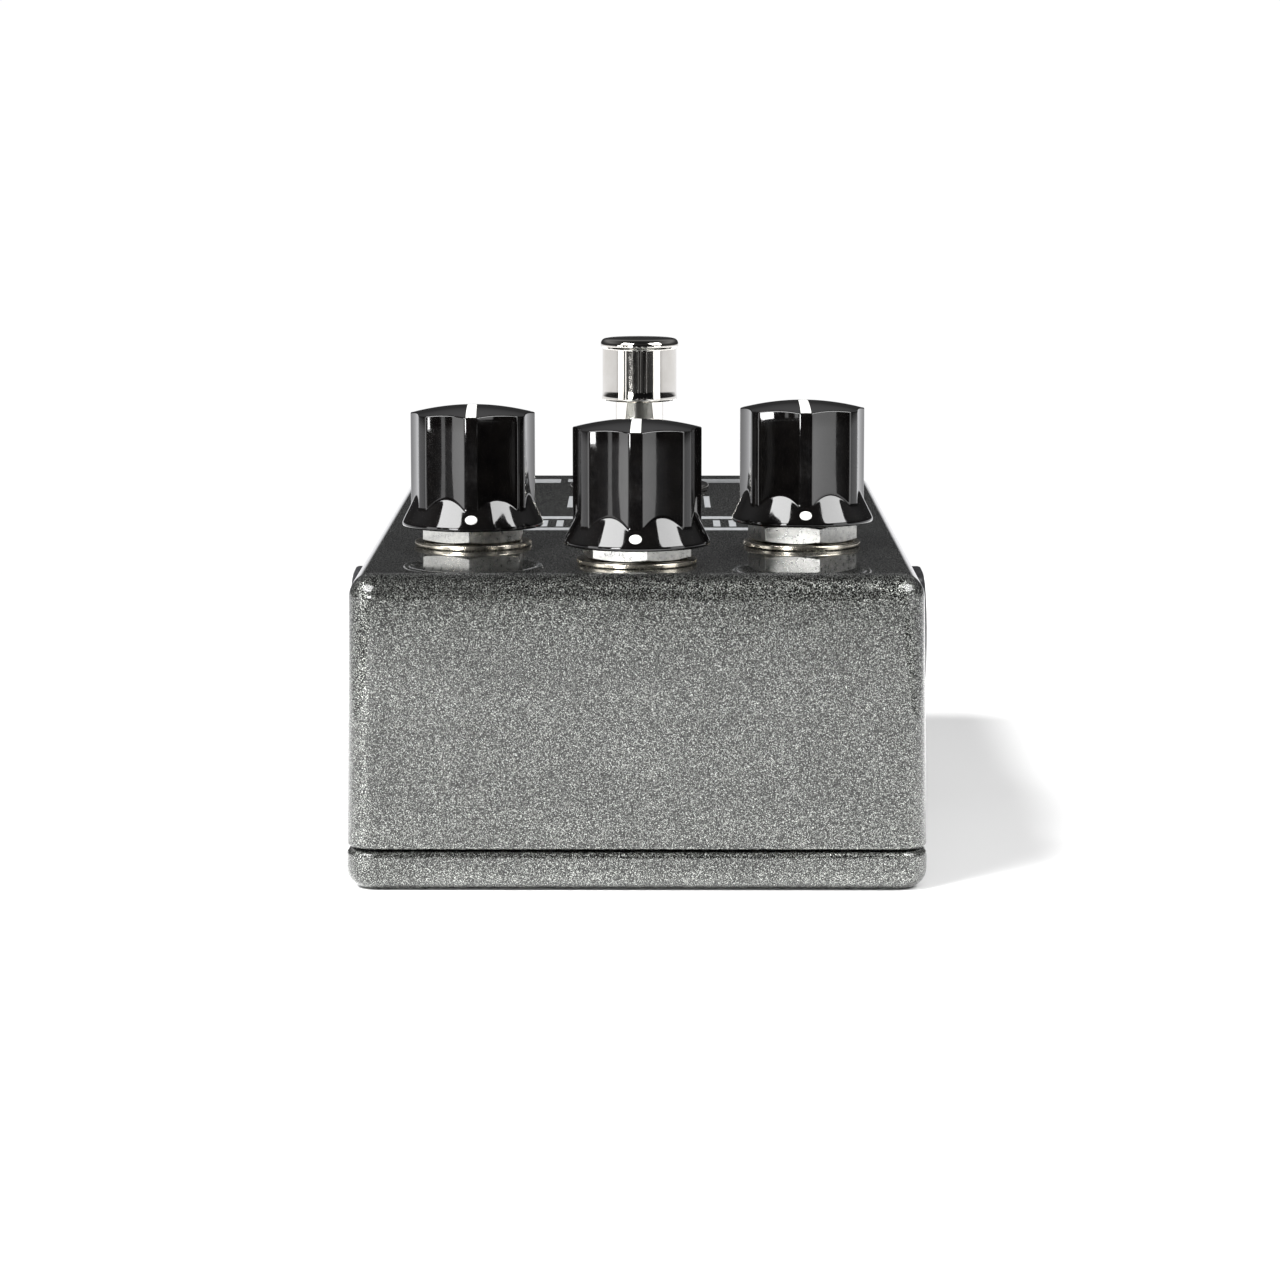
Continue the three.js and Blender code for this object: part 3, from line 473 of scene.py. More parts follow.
COAT = flake_coat()
NICKEL = polished_nickel()
ZINC = zinc_plate()
KNOB_BLACK = gloss_black()
WHITE = white_mark()
PRINT = panel_print()
BLACK_PLASTIC = moulded("moulded_black", (0.016, 0.016, 0.018), 0.42)
BLACK_STEEL = worked_metal("black_oxide", (0.075, 0.075, 0.08), 0.32)
STEEL = worked_metal("plain_steel", (0.48, 0.48, 0.49), 0.3)
BOARD = board_mask()
SWITCH_BASE = moulded("moulded_blue", (0.03, 0.09, 0.30), 0.45)
FILM = moulded("dipped_red", (0.36, 0.045, 0.025), 0.3, 0.5, 0.2)
SLEEVE = moulded("dark_sleeve", (0.02, 0.03, 0.06), 0.3, 0.6, 0.1)
LENS = led_lens()
WASHER_PLATE = worked_metal("washer_plate", (0.86, 0.80, 0.68), 0.22, stretch=(1.0, 1.0, 0.5))
CELL = worked_metal("cell_jacket", (0.16, 0.17, 0.19), 0.3)
FOAM = soft_foam()
RIBBON = moulded("ribbon_grey", (0.28, 0.30, 0.32), 0.5)
RED_WIRE = moulded("red_wire", (0.40, 0.018, 0.015), 0.4)
BLACK_WIRE = moulded("black_wire", (0.015, 0.015, 0.015), 0.4)

SLOT_MATERIAL = {
    "coat": COAT, "black_screw": BLACK_STEEL, "knob_black": KNOB_BLACK, "zinc": ZINC,
    "nickel": NICKEL, "steel": STEEL, "switch_base": SWITCH_BASE, "black_plastic": BLACK_PLASTIC,
    "board": BOARD, "film": FILM, "capacitor_sleeve": SLEEVE, "led_lens": LENS, "cell": CELL,
    "foam": FOAM, "ribbon": RIBBON, "red_wire": RED_WIRE, "black_wire": BLACK_WIRE,
}
NODE_SLOT = {s["node"]: s["material_slot"] for s in frame["record"]["subparts"]}
for node, obj in frame["nodes"].items():
    obj.data.materials.clear()
    obj.data.materials.append(SLOT_MATERIAL[NODE_SLOT[node]])


# =====================================================================
# Case
# =====================================================================

def inset_at(z):
    return DRAFT * (z - SEAM)


def side_tool(name, radius, side, y, z, reach=6.0):
    tip = Matrix.Rotation(math.pi / 2, 4, "Y")
    return baked(rod(name, radius, -reach, reach), side * box_high.x, y, z, tip=tip)


def build_enclosure():
    """Die-cast shell: drafted walls, rounded top edge, hollow inside, with its holes."""
    half_x = box_high.x
    half_y = box_high.y
    rings = []
    lip = 0.45 * MM
    for i in range(5):
        angle = math.radians(90 * (1 - i / 4))
        rings.append(rounded_ring(half_x - lip + lip * math.cos(angle),
                                  half_y - lip + lip * math.cos(angle), CORNER_R,
                                  SEAM + lip - lip * math.sin(angle)))
    wall_top = TOP - TOP_R
    for i in range(1, 5):
        z = SEAM + lip + (wall_top - SEAM - lip) * i / 5
        rings.append(rounded_ring(half_x - inset_at(z), half_y - inset_at(z), CORNER_R, z))
    steps = 14
    for i in range(steps + 1):
        angle = math.radians(90 * i / steps)
        z = wall_top + TOP_R * math.sin(angle)
        back = TOP_R * (1 - math.cos(angle)) + inset_at(wall_top)
        rings.append(rounded_ring(half_x - back, half_y - back,
                                  max(CORNER_R - TOP_R * (1 - math.cos(angle)), 0.3 * MM), z))
    verts, faces = skin(rings)
    outer = make_mesh("enclosure_shell", verts, faces)

    ceiling = TOP - WALL
    inner_rings = [rounded_ring(half_x - WALL - inset_at(z), half_y - WALL - inset_at(z), 2 * MM, z, 6)
                   for z in (SEAM - 2 * MM, ceiling - 1 * MM)]
    inner_rings.append(rounded_ring(half_x - WALL - 1.4 * MM, half_y - WALL - 1.4 * MM, 1.2 * MM,
                                    ceiling, 6))
    verts, faces = skin(inner_rings)
    tools = [make_mesh("hollow", verts, faces)]

    def top_hole(name, node, gap):
        low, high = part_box(node)
        radius = (high.x - low.x) / 2 / MM + gap
        centre = middle(node)
        tools.append(baked(rod(name, radius, -6, 6), centre.x, centre.y, TOP))

    for pot in POTS:
        centre = middle(f"pot_washer_{pot}")
        tools.append(baked(rod(f"hole_{pot}", 3.8, -6, 6), centre.x, centre.y, TOP))
    switch = middle("footswitch_washer")
    tools.append(baked(rod("hole_switch", 6.3, -6, 6), switch.x, switch.y, TOP))
    light = middle("led_bezel")
    tools.append(baked(rod("hole_light", 3.7, -6, 6), light.x, light.y, TOP))
    for side, name in ((-1, "input"), (1, "output")):
        jack = middle(f"{name}_jack_nut")
        tools.append(side_tool(f"hole_{name}", 5.9, side, jack.y, jack.z))
    power = middle("dc_socket_pin")
    tools.append(side_tool("hole_power", 4.4, -1, power.y, power.z))
    shell = boolean(outer, tools, sharp=30)
    weighted(shell)
    return finish_piece(shell, "case", "coat", COAT, "enclosure")


def screw_places():
    return [middle(f"base_screw_{i}") for i in range(1, 5)]


def build_base_plate():
    """Cast base plate: rounded lower edge, small round on the upper rim, pads at the screws."""
    half_x, half_y = plate_high.x, plate_high.y
    radius = 3.2 * MM
    rim_top = SEAM - 0.14 * MM
    lower, upper = 2.1 * MM, 0.7 * MM
    rings = []
    for i in range(11):
        angle = math.radians(90 * i / 10)
        back = lower * (1 - math.sin(angle))
        rings.append(rounded_ring(half_x - back, half_y - back, max(radius - back, 1.0 * MM),
                                  lower * (1 - math.cos(angle))))
    for i in range(7):
        angle = math.radians(90 * i / 6)
        back = upper * (1 - math.cos(angle))
        rings.append(rounded_ring(half_x - back, half_y - back, radius - back,
                                  rim_top - upper + upper * math.sin(angle)))
    verts, faces = skin(rings)
    plate = make_mesh("base_plate_casting", verts, faces)
    face = cuboid("face_tool", (-40, -70, -2), (40, 70, 0.3))
    keep = []
    for i, place in enumerate(screw_places()):
        keep.append(baked(rod(f"pad_{i}", 4.6, -3, 5), place.x, place.y))
        sx, sy = math.copysign(1, place.x), math.copysign(1, place.y)
        xs = sorted((place.x / MM, place.x / MM + sx * 9))
        ys = sorted((place.y / MM, place.y / MM + sy * 9))
        keep.append(cuboid(f"corner_{i}", (xs[0], ys[0], -3), (xs[1], ys[1], 5)))
    boolean(face, keep)
    tray = make_mesh("tray_tool", *skin([rounded_ring(half_x - 3.2 * MM, half_y - 3.2 * MM, 1.5 * MM,
                                                     z, 4) for z in (2.3 * MM, 8 * MM)]))
    boolean(plate, [face, tray])
    posts = [baked(rod(f"post_{i}", 3.7, 1.0, rim_top / MM), p.x, p.y)
             for i, p in enumerate(screw_places())]
    boolean(plate, posts, "UNION")
    sinks = [baked(turned(f"sink_{i}", [(0, -1), (3.1, -1), (2.95, 0.15), (2.95, 0.85), (1.8, 2.1),
                                        (1.8, 9), (0, 9)], 64), p.x, p.y)
             for i, p in enumerate(screw_places())]
    boolean(plate, sinks, sharp=30)
    weighted(plate)
    return finish_piece(plate, "case", "coat", COAT, "base_plate")


def build_base_screws():
    """Countersunk cross-recess screws with a domed recess and a thread."""
    profile = [(0, 0.5), (2.55, 0.5), (2.75, 0.62), (2.75, 0.75), (1.55, 1.95)]
    z = 2.4
    while z < 12.4:
        profile += [(1.5, z), (1.25, z + 0.25)]
        z += 0.5
    profile += [(0.5, 13.2), (0, 13.4)]
    for i, place in enumerate(screw_places(), start=1):
        screw = turned(f"screw_{i}", profile, 48)
        blades = [baked(cuboid(f"blade_{i}_{k}", (-1.55, -0.33, 0), (1.55, 0.33, 1.45)),
                        turn=90 * k) for k in range(2)]
        blades.append(turned(f"recess_{i}", [(0, 0), (0.95, 0), (0.55, 1.6), (0, 1.9)], 24))
        boolean(screw, blades, sharp=25)
        placed(screw, place.x, place.y, 0, turn=20 * (i - 1))
        finish_piece(screw, "case", "black_screw", BLACK_STEEL, f"base_screw_{i}")


# =====================================================================
# Knobs and pot hardware
# =====================================================================

SKIRT_R = 7.7
RIB_R = 6.87
FLUTES = 7
FLUTE_DEPTH_R = 6.22
FLUTE_R = 12.8
KNOB_HEIGHT = 13.2
DOME_R = 27.0
CONE_SLOPE = 0.5
CONE_FOOT = 0.45


def dome(r):
    """Height of the knob's top at radius r, in millimetres above its foot."""
    return KNOB_HEIGHT - (DOME_R - math.sqrt(DOME_R ** 2 - r ** 2))


def fluted_outline(columns):
    """Body radius at each column: ribs on a circle with hollow flutes, corners eased."""
    reach = FLUTE_DEPTH_R + FLUTE_R
    radii = []
    for i in range(columns):
        angle = TAU * i / columns + math.pi / 2
        off = (angle % (TAU / FLUTES)) - math.pi / FLUTES
        root = reach * math.cos(off) - math.sqrt(FLUTE_R ** 2 - (reach * math.sin(off)) ** 2)
        radii.append(min(RIB_R, root))
    for _ in range(2):
        radii = [(radii[i - 1] + 2 * radii[i] + radii[(i + 1) % columns]) / 4
                 for i in range(columns)]
    return radii


def knob_mesh():
    """One closed mesh: hollow underside, rolled skirt rim, cone, fluted wall and domed top."""
    columns = FLUTES * 56
    body = fluted_outline(columns)
    under = [(0, 9.8), (3.3, 9.8), (3.3, 2.2), (4.2, 2.2), (4.2, 1.3), (6.7, 1.3), (6.85, 1.15),
             (6.9, 0.12), (7.0, 0.0)]
    rim = arc(SKIRT_R - 0.22, 0.22, 0.22, -90, 0, 5) + [(SKIRT_R, CONE_FOOT - 0.04),
                                                        (SKIRT_R - 0.04, CONE_FOOT + 0.06)]
    ease = 0.16
    edge = 0.17
    rings = [[] for _ in range(len(under) + len(rim) + 8 + 4 + 3 + 5 + 12)]
    for i in range(columns):
        wall = body[i]
        meet = CONE_FOOT + (SKIRT_R - wall) / CONE_SLOPE
        profile = under + rim
        cone_top = meet - 1.6 * ease
        for k in range(1, 9):
            z = CONE_FOOT + 0.1 + (cone_top - CONE_FOOT - 0.1) * k / 8
            profile.append((SKIRT_R - (z - CONE_FOOT) * CONE_SLOPE, z))
        start = profile[-1]
        corner = (wall, meet)
        end = (wall, meet + 1.6 * ease)
        for k in range(1, 5):
            t = k / 4
            profile.append(tuple((1 - t) ** 2 * a + 2 * t * (1 - t) * b + t * t * c
                                 for a, b, c in zip(start, corner, end)))
        top = dome(wall)
        for k in range(1, 4):
            profile.append((wall, end[1] + (top - edge - end[1]) * k / 3))
        for k in range(1, 6):
            angle = math.radians(90 * k / 5)
            profile.append((wall - edge * (1 - math.cos(angle)), top - edge + edge * math.sin(angle)))
        inner = wall - edge
        for k in range(1, 13):
            r = inner * (1 - k / 12)
            profile.append((r, dome(r) - (dome(inner) - top) * (r / inner)))
        angle = TAU * i / columns
        for ring, (r, z) in zip(rings, profile):
            r = max(r, 1e-4)
            ring.append((r * math.cos(angle) * MM, r * math.sin(angle) * MM, z * MM))
    verts, faces = skin(rings)
    return verts, faces


def pointer_mesh():
    """White line let into the dome, from the middle to the edge over the front rib."""
    rows, across = 28, 8
    reach, half = 6.72, 0.56
    verts = []
    for layer in (0, 1):
        for i in range(rows + 1):
            y = -reach * i / rows
            for j in range(across + 1):
                x = (2 * j / across - 1) * (half - 0.06 * (1 - i / rows))
                edge = min(1.0, 4 * min(j, across - j) / across)
                lift = 0.015 + 0.02 * edge if layer else -0.12
                verts.append((x * MM, y * MM, (dome(math.hypot(x, y)) + lift) * MM))
    width = across + 1
    step = (rows + 1) * width
    faces = []
    for i in range(rows):
        for j in range(across):
            a = i * width + j
            faces.append((a, a + 1, a + 1 + width, a + width))
            faces.append((a + step, a + step + width, a + step + width + 1, a + step + 1))
    border = [i * width for i in range(rows + 1)]
    border += [rows * width + j for j in range(1, width)]
    border += [i * width + across for i in range(rows - 1, -1, -1)]
    border += list(range(across - 1, 0, -1))
    for a, b in zip(border, border[1:] + border[:1]):
        faces.append((a, b, b + step, a + step))
    return verts, faces


def dot_mesh():
    """White dot filled level on the skirt's cone, under the pointer."""
    height, half_wide, half_tall = 1.28, 0.66, 0.52
    along = math.hypot(CONE_SLOPE, 1.0)
    rings = []
    for share, lift in ((1.0, -0.1), (1.0, 0.0), (0.93, 0.035), (0.6, 0.05), (0.25, 0.055)):
        ring = []
        for i in range(48):
            angle = TAU * i / 48
            x = half_wide * share * math.cos(angle)
            z = height + half_tall * share * math.sin(angle) / along
            r = SKIRT_R - (z - CONE_FOOT) * CONE_SLOPE + lift
            ring.append((x * MM, -math.sqrt(r * r - x * x) * MM, z * MM))
        rings.append(ring)
    return skin(rings)


def build_knobs():
    solid, line, dot = knob_mesh(), pointer_mesh(), dot_mesh()
    for pot in POTS:
        low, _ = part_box(f"knob_{pot}")
        centre = middle(f"pot_washer_{pot}")
        place = {"x": centre.x, "y": centre.y, "z": low.z, "turn": KNOB_TURN[pot]}
        body = f"{pot}_control"
        knob = placed(make_mesh(f"knob_body_{pot}", *solid, sharp=60), **place)
        finish_piece(knob, body, "knob_black", KNOB_BLACK, f"knob_{pot}")
        pointer = placed(make_mesh(f"knob_pointer_{pot}", *line, sharp=60), **place)
        finish_piece(pointer, body, "knob_black", WHITE)
        mark = placed(make_mesh(f"knob_dot_{pot}", *dot, sharp=60), **place)
        finish_piece(mark, body, "knob_black", WHITE)


def hex_nut(name, across, bore, z0, z1, chamfer=0.3, round_edge=0.05):
    """Hexagonal nut about Z with a corner towards -Y, its corners turned off at a slope."""
    columns = 96
    flat = across / 2
    rings = [[] for _ in range(8)]
    for i in range(columns):
        angle = TAU * i / columns
        off = (angle + math.pi / 6) % (TAU / 6) - math.pi / 6
        reach = flat / math.cos(off)
        crown = flat - 0.08
        drop = (reach - crown) * chamfer
        profile = [(bore, z0 + 0.25), (bore + 0.25, z0), (crown, z0), (reach, z0 + drop),
                   (reach, z1 - drop), (crown, z1), (bore + 0.3, z1), (bore, z1 - 0.3)]
        for ring, (r, z) in zip(rings, profile):
            ring.append((r * math.cos(angle) * MM, r * math.sin(angle) * MM, z * MM))
    verts, faces = skin(rings, closed_profile=True)
    nut = make_mesh(name, verts, faces, sharp=12)
    return soften(nut, round_edge * MM, 1, 12, sharp=18)


def threaded(name, radius, bore, z0, z1, pitch=1.0, depth=0.42):
    """A bushing about Z with a real helical thread and a chamfered mouth, in millimetres."""
    columns = 72
    per_turn = 8
    rows = int((z1 - z0) / pitch * per_turn)
    rings = []
    for k in range(rows + 1):
        z = z0 + (z1 - z0) * k / rows
        ring = []
        for i in range(columns):
            phase = ((z - z0) / pitch - i / columns) % 1.0
            cut = depth * (1 - abs(2 * phase - 1)) ** 0.8
            fade = min(1.0, max(0.0, (z1 - z) / 0.7))
            r = radius - cut * fade - 0.55 * (1 - fade)
            angle = TAU * i / columns
            ring.append((r * math.cos(angle) * MM, r * math.sin(angle) * MM, z * MM))
        rings.append(ring)
    for r, z in ((bore + 0.25, z1), (bore, z1 - 0.25), (bore, z0)):
        rings.append([(r * math.cos(TAU * i / columns) * MM, r * math.sin(TAU * i / columns) * MM,
                       z * MM) for i in range(columns)])
    verts, faces = skin(rings, closed_profile=True)
    return make_mesh(name, verts, faces, sharp=50)


def washer(name, bore, radius, z0, z1):
    """A stamped washer: rolled outer edge above, crisp below."""
    lip = (z1 - z0) * 0.42
    profile = [(bore, z0 + 0.06), (bore + 0.06, z0), (radius - 0.08, z0), (radius, z0 + 0.08)]
    profile += arc(radius - lip, z1 - lip, lip, 0, 90, 6)
    profile += [(bore + 0.15, z1), (bore, z1 - 0.15)]
    return turned(name, profile, 128, sharp=40, closed_profile=True)


def build_pot_hardware():
    for pot in POTS:
        low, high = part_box(f"pot_washer_{pot}")
        centre = middle(f"pot_washer_{pot}")
        ring = washer(f"washer_{pot}", 3.8, (high.x - low.x) / 2 / MM, low.z / MM, high.z / MM)
        finish_piece(placed(ring, centre.x, centre.y), "case", "nickel", WASHER_PLATE,
                     f"pot_washer_{pot}")
        low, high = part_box(f"pot_nut_{pot}")
        nut = hex_nut(f"nut_{pot}", 10.5, 3.75, low.z / MM, high.z / MM)
        finish_piece(placed(nut, centre.x, centre.y, turn=NUT_TURN[pot]), "case", "zinc", ZINC,
                     f"pot_nut_{pot}")


# =====================================================================
# Footswitch
# =====================================================================

def build_footswitch():
    centre = middle("footswitch_washer")
    low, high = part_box("footswitch_button")
    cap_top = high.z / MM
    cap_foot = 44.1
    stem = 2.95
    profile = [(0, low.z / MM), (4.1, low.z / MM), (4.2, low.z / MM + 0.1),
               (4.2, low.z / MM + 1.4), (stem, low.z / MM + 1.4), (stem, cap_foot - 0.1)]
    profile += [(stem + 0.08, cap_foot + 0.12), (stem + 0.3, cap_foot + 0.22),
                (4.15, cap_foot + 0.02), (4.45, cap_foot)]
    profile += [(4.64, cap_foot + 0.10), (4.70, cap_foot + 0.30), (4.66, cap_foot + 0.62),
                (4.61, cap_foot + 1.1), (4.60, cap_foot + 1.3), (4.60, cap_top - 1.36),
                (4.60, cap_top - 1.30)]
    profile += [(4.63, cap_top - 1.18), (4.72, cap_top - 1.08), (4.81, cap_top - 0.98),
                (4.84, cap_top - 0.86), (4.83, cap_top - 0.70), (4.80, cap_top - 0.54),
                (4.74, cap_top - 0.39), (4.65, cap_top - 0.25), (4.52, cap_top - 0.13),
                (4.34, cap_top - 0.05), (4.0, cap_top), (2.0, cap_top), (0, cap_top)]
    button = turned("switch_cap", profile, 128, sharp=50)
    finish_piece(placed(button, centre.x, centre.y), "foot_button", "nickel", NICKEL,
                 "footswitch_button")

    low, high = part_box("footswitch_washer")
    ring = washer("switch_washer", 6.2, (high.x - low.x) / 2 / MM, low.z / MM, high.z / MM)
    finish_piece(placed(ring, centre.x, centre.y), "case", "nickel", NICKEL, "footswitch_washer")
    low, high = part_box("footswitch_nut")
    nut = hex_nut("switch_nut", 14.0, 6.05, low.z / MM, high.z / MM)
    finish_piece(placed(nut, centre.x, centre.y, turn=8), "case", "nickel", NICKEL,
                 "footswitch_nut")

    low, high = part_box("footswitch_frame")
    bushing = threaded("switch_bushing", 6.0, 3.2, low.z / MM + 1.0, high.z / MM)
    plate = cuboid("switch_plate", (-8.6, -8.6, low.z / MM), (8.6, 8.6, low.z / MM + 1.2))
    boolean(plate, [rod("plate_hole", 3.25, low.z / MM - 1, low.z / MM + 3)])
    soften(plate, 0.15 * MM)
    finish_piece(placed(plate, centre.x, centre.y), "case", "nickel", NICKEL, "footswitch_frame")
    finish_piece(placed(bushing, centre.x, centre.y), "case", "nickel", NICKEL)


def build_return_spring():
    """The coil under the plunger."""
    wire, radius, turns = 0.4, 3.4, 3.5
    around, per_turn = 12, 36
    low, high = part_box("footswitch_spring")
    centre = middle("footswitch_washer")
    foot, head = low.z / MM + wire, high.z / MM - wire
    count = int(turns * per_turn)
    rings = []
    for k in range(count + 1):
        angle = TAU * k / per_turn
        z = foot + (head - foot) * k / count
        ring = []
        for i in range(around):
            tilt = TAU * i / around
            r = radius + wire * math.cos(tilt)
            ring.append((centre.x + r * math.cos(angle) * MM, centre.y + r * math.sin(angle) * MM,
                         (z + wire * math.sin(tilt)) * MM))
        rings.append(ring)
    spring = make_mesh("return_spring", *skin(rings), sharp=60)
    finish_piece(spring, "case", "steel", STEEL, "footswitch_spring")
    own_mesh(spring)


# =====================================================================
# Jacks, power socket, status light
# =====================================================================

def build_jacks():
    for side, name in ((-1, "input"), (1, "output")):
        nut_low, nut_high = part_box(f"{name}_jack_nut")
        centre = middle(f"{name}_jack_nut")
        foot = min(abs(nut_low.x), abs(nut_high.x)) / MM
        face = max(abs(nut_low.x), abs(nut_high.x)) / MM
        tip = Matrix.Rotation(side * math.pi / 2, 4, "Y")
        ring = jack_ring(f"{name}_ring_nut", foot, face)
        finish_piece(placed(ring, 0, centre.y, centre.z, tip=tip), "case", "black_plastic",
                     BLACK_PLASTIC, f"{name}_jack_nut")
        low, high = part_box(f"{name}_jack_housing")
        back = min(abs(low.x), abs(high.x)) / MM
        sleeve_end = max(abs(low.x), abs(high.x)) / MM
        front = 27.4
        half = (high.z - low.z) / 2 / MM
        box = cuboid(f"{name}_socket_box", (-half, -half, back), (half, half, front))
        soften(box, 0.5 * MM, 3)
        boolean(box, [rod("bore", 3.3, back - 2, front + 2, 64)])
        finish_piece(placed(box, 0, centre.y, centre.z, tip=tip), "case", "black_plastic",
                     BLACK_PLASTIC, f"{name}_jack_housing")
        sleeve = threaded(f"{name}_socket_sleeve", 5.55, 3.3, front - 0.2, sleeve_end, 0.75, 0.3)
        finish_piece(placed(sleeve, 0, centre.y, centre.z, tip=tip), "case", "black_plastic",
                     BLACK_PLASTIC)


def jack_ring(name, foot, face):
    """A round plastic nut with grip notches round its rim, in millimetres."""
    columns = 240
    notches = 24
    radius, bore = 8.0, 5.75
    rings = [[] for _ in range(11)]
    for i in range(columns):
        angle = TAU * i / columns
        wave = 0.5 + 0.5 * math.cos(notches * angle)
        grip = radius - 0.28 * max(0.0, (wave - 0.72) / 0.28)
        profile = [(bore, foot), (radius - 0.5, foot), (radius - 0.3, foot + 0.1),
                   (grip, foot + 0.35), (grip, face - 0.62), (grip - 0.10, face - 0.36),
                   (radius - 0.60, face - 0.12), (radius - 0.95, face), (bore + 0.5, face),
                   (bore + 0.15, face - 0.12), (bore, face - 0.4)]
        for ring, (r, z) in zip(rings, profile):
            ring.append((r * math.cos(angle) * MM, r * math.sin(angle) * MM, z * MM))
    verts, faces = skin(rings, closed_profile=True)
    return make_mesh(name, verts, faces, sharp=45)


NOSE_R = 4.1
NOSE_LENGTH = 2.14


def build_power_socket():
    low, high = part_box("dc_socket_housing")
    pin_low, pin_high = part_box("dc_socket_pin")
    centre = middle("dc_socket_pin")
    front = abs(low.x) / MM
    tip = Matrix.Rotation(-math.pi / 2, 4, "Y")
    box = cuboid("power_socket_box", (-4.5, -5.5, abs(high.x) / MM), (4.5, 5.5, front - NOSE_LENGTH))
    soften(box, 0.25 * MM, 2)
    nose = turned("power_socket_nose", [(0, front - NOSE_LENGTH - 1), (NOSE_R, front - NOSE_LENGTH - 1),
                                        (NOSE_R, front - 0.2), (NOSE_R - 0.2, front), (0, front)], 96)
    boolean(box, [nose], "UNION")
    mouth = turned("mouth", [(0, front - 10.5), (3.1, front - 10.5), (3.1, front - 0.3),
                             (3.5, front + 0.1), (3.5, front + 1), (0, front + 1)], 96)
    boolean(box, [mouth, rod("pin_hole", 1.15, front - 15, front - 9, 32)])
    finish_piece(placed(box, 0, centre.y, centre.z, tip=tip), "case", "black_plastic",
                 BLACK_PLASTIC, "dc_socket_housing")
    pin_foot, pin_tip = abs(pin_high.x) / MM, abs(pin_low.x) / MM
    pin = turned("power_socket_pin", [(0, pin_foot), (1.0, pin_foot), (1.0, pin_tip - 0.5)]
                 + arc(0.5, pin_tip - 0.5, 0.5, 0, 90, 6) + [(0, pin_tip)], 48)
    finish_piece(placed(pin, 0, centre.y, centre.z, tip=tip), "case", "nickel", NICKEL,
                 "dc_socket_pin")


def build_status_light():
    centre = middle("led_bezel")
    low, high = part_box("led_bezel")
    top = TOP / MM
    z0, z1 = low.z / MM, high.z / MM
    bezel = turned("light_bezel", [(2.6, z0), (3.3, z0), (3.4, z0 + 0.15), (3.4, top + 0.05),
                                   (4.05, top + 0.05), (4.1, top + 0.15), (4.06, top + 0.42),
                                   (3.9, top + 0.66), (3.65, top + 0.86), (3.35, z1),
                                   (3.05, z1 - 0.04), (2.75, z1 - 0.25), (2.6, z1 - 0.5)],
                   128, sharp=40, closed_profile=True)
    finish_piece(placed(bezel, centre.x, centre.y), "case", "nickel", NICKEL, "led_bezel")
    low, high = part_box("status_led")
    z0, z1 = low.z / MM, high.z / MM
    crown = z1 - 2.45
    profile = [(0, z0), (2.85, z0), (2.9, z0 + 0.1), (2.9, z0 + 0.95), (2.45, z0 + 1.0),
               (2.45, crown)]
    profile += arc(0, crown, 2.45, 0, 90, 14)[1:]
    light = turned("light_lens", profile, 96, sharp=50)
    finish_piece(placed(light, centre.x, centre.y), "case", "led_lens", LENS, "status_led")


# =====================================================================
# Screen print: a plain abstract panel, with no lettering
# =====================================================================

def print_patch(name, shapes):
    """Flat printed shapes on the top face. A shape is (x0, y0, x1, y1) in millimetres."""
    verts, faces = [], []
    lift, sink = TOP + 0.012 * MM, TOP - 0.02 * MM
    for x0, y0, x1, y1 in shapes:
        start = len(verts)
        for z in (sink, lift):
            verts += [(x0 * MM, y0 * MM, z), (x1 * MM, y0 * MM, z), (x1 * MM, y1 * MM, z),
                      (x0 * MM, y1 * MM, z)]
        for face in ((3, 2, 1, 0), (4, 5, 6, 7), (0, 1, 5, 4), (1, 2, 6, 5), (2, 3, 7, 6),
                     (3, 0, 4, 7)):
            faces.append(tuple(start + k for k in face))
    patch = make_mesh(name, verts, faces)
    return finish_piece(patch, "case", "coat", PRINT)


def build_print():
    half = 21.0
    front, back = -12.1, 2.6
    stroke_front, stroke_back, stroke_side = 2.5, 2.6, 1.0
    outline = [(-half, front, half, front + stroke_front), (-half, back - stroke_back, half, back),
               (-half, front + stroke_front, stroke_side - half, back - stroke_back),
               (half - stroke_side, front + stroke_front, half, back - stroke_back)]
    bars = [(x - 0.4, -8.2, x + 0.4, -1.8) for x in (-17, -13, -10.8, -9, -5, 5, 9, 10.8, 13, 17)]
    print_patch("print_panel", outline + bars)
    meter = [(side * 8.2 - 0.35, 13.0, side * 8.2 + 0.35, 26.0) for side in (-1, 1)]
    meter += [(side * x - 0.35, 13.0, side * x + 0.35, top) for side in (-1, 1)
              for x, top in ((6.6, 23.0), (5.0, 20.0), (3.4, 18.0), (1.8, 16.5))]
    print_patch("print_meter", meter)
    dashes = [(-21.0, 43.2, -10.0, 47.8), (-9.1, 44.6, 5.0, 47.8), (6.0, 43.2, 21.0, 47.8)]
    print_patch("print_dashes", dashes)


# =====================================================================
# Studio
# =====================================================================

def panel(name, azimuth, distance, width, low, high, radiance, lean=0.0):
    """An upright light panel, low to high above the floor, facing the pedal.

    The azimuth is in degrees from the knob end, positive towards +X; lean tips its top inwards.
    """
    angle = math.radians(azimuth)
    toward = Vector((math.sin(angle), -math.cos(angle), 0.0))
    light = bpy.data.lights.new(name, "AREA")
    light.shape = "RECTANGLE"
    light.size, light.size_y = width, high - low
    light.energy = radiance * math.pi * width * (high - low)
    obj = link(bpy.data.objects.new(name, light))
    facing = Vector((toward.x, toward.y, math.sin(math.radians(lean))))
    obj.rotation_euler = facing.to_track_quat("Z", "Y").to_euler()
    obj.location = toward * distance + Vector((0.0, -0.02, (low + high) / 2))
    obj.visible_camera = False
    return obj


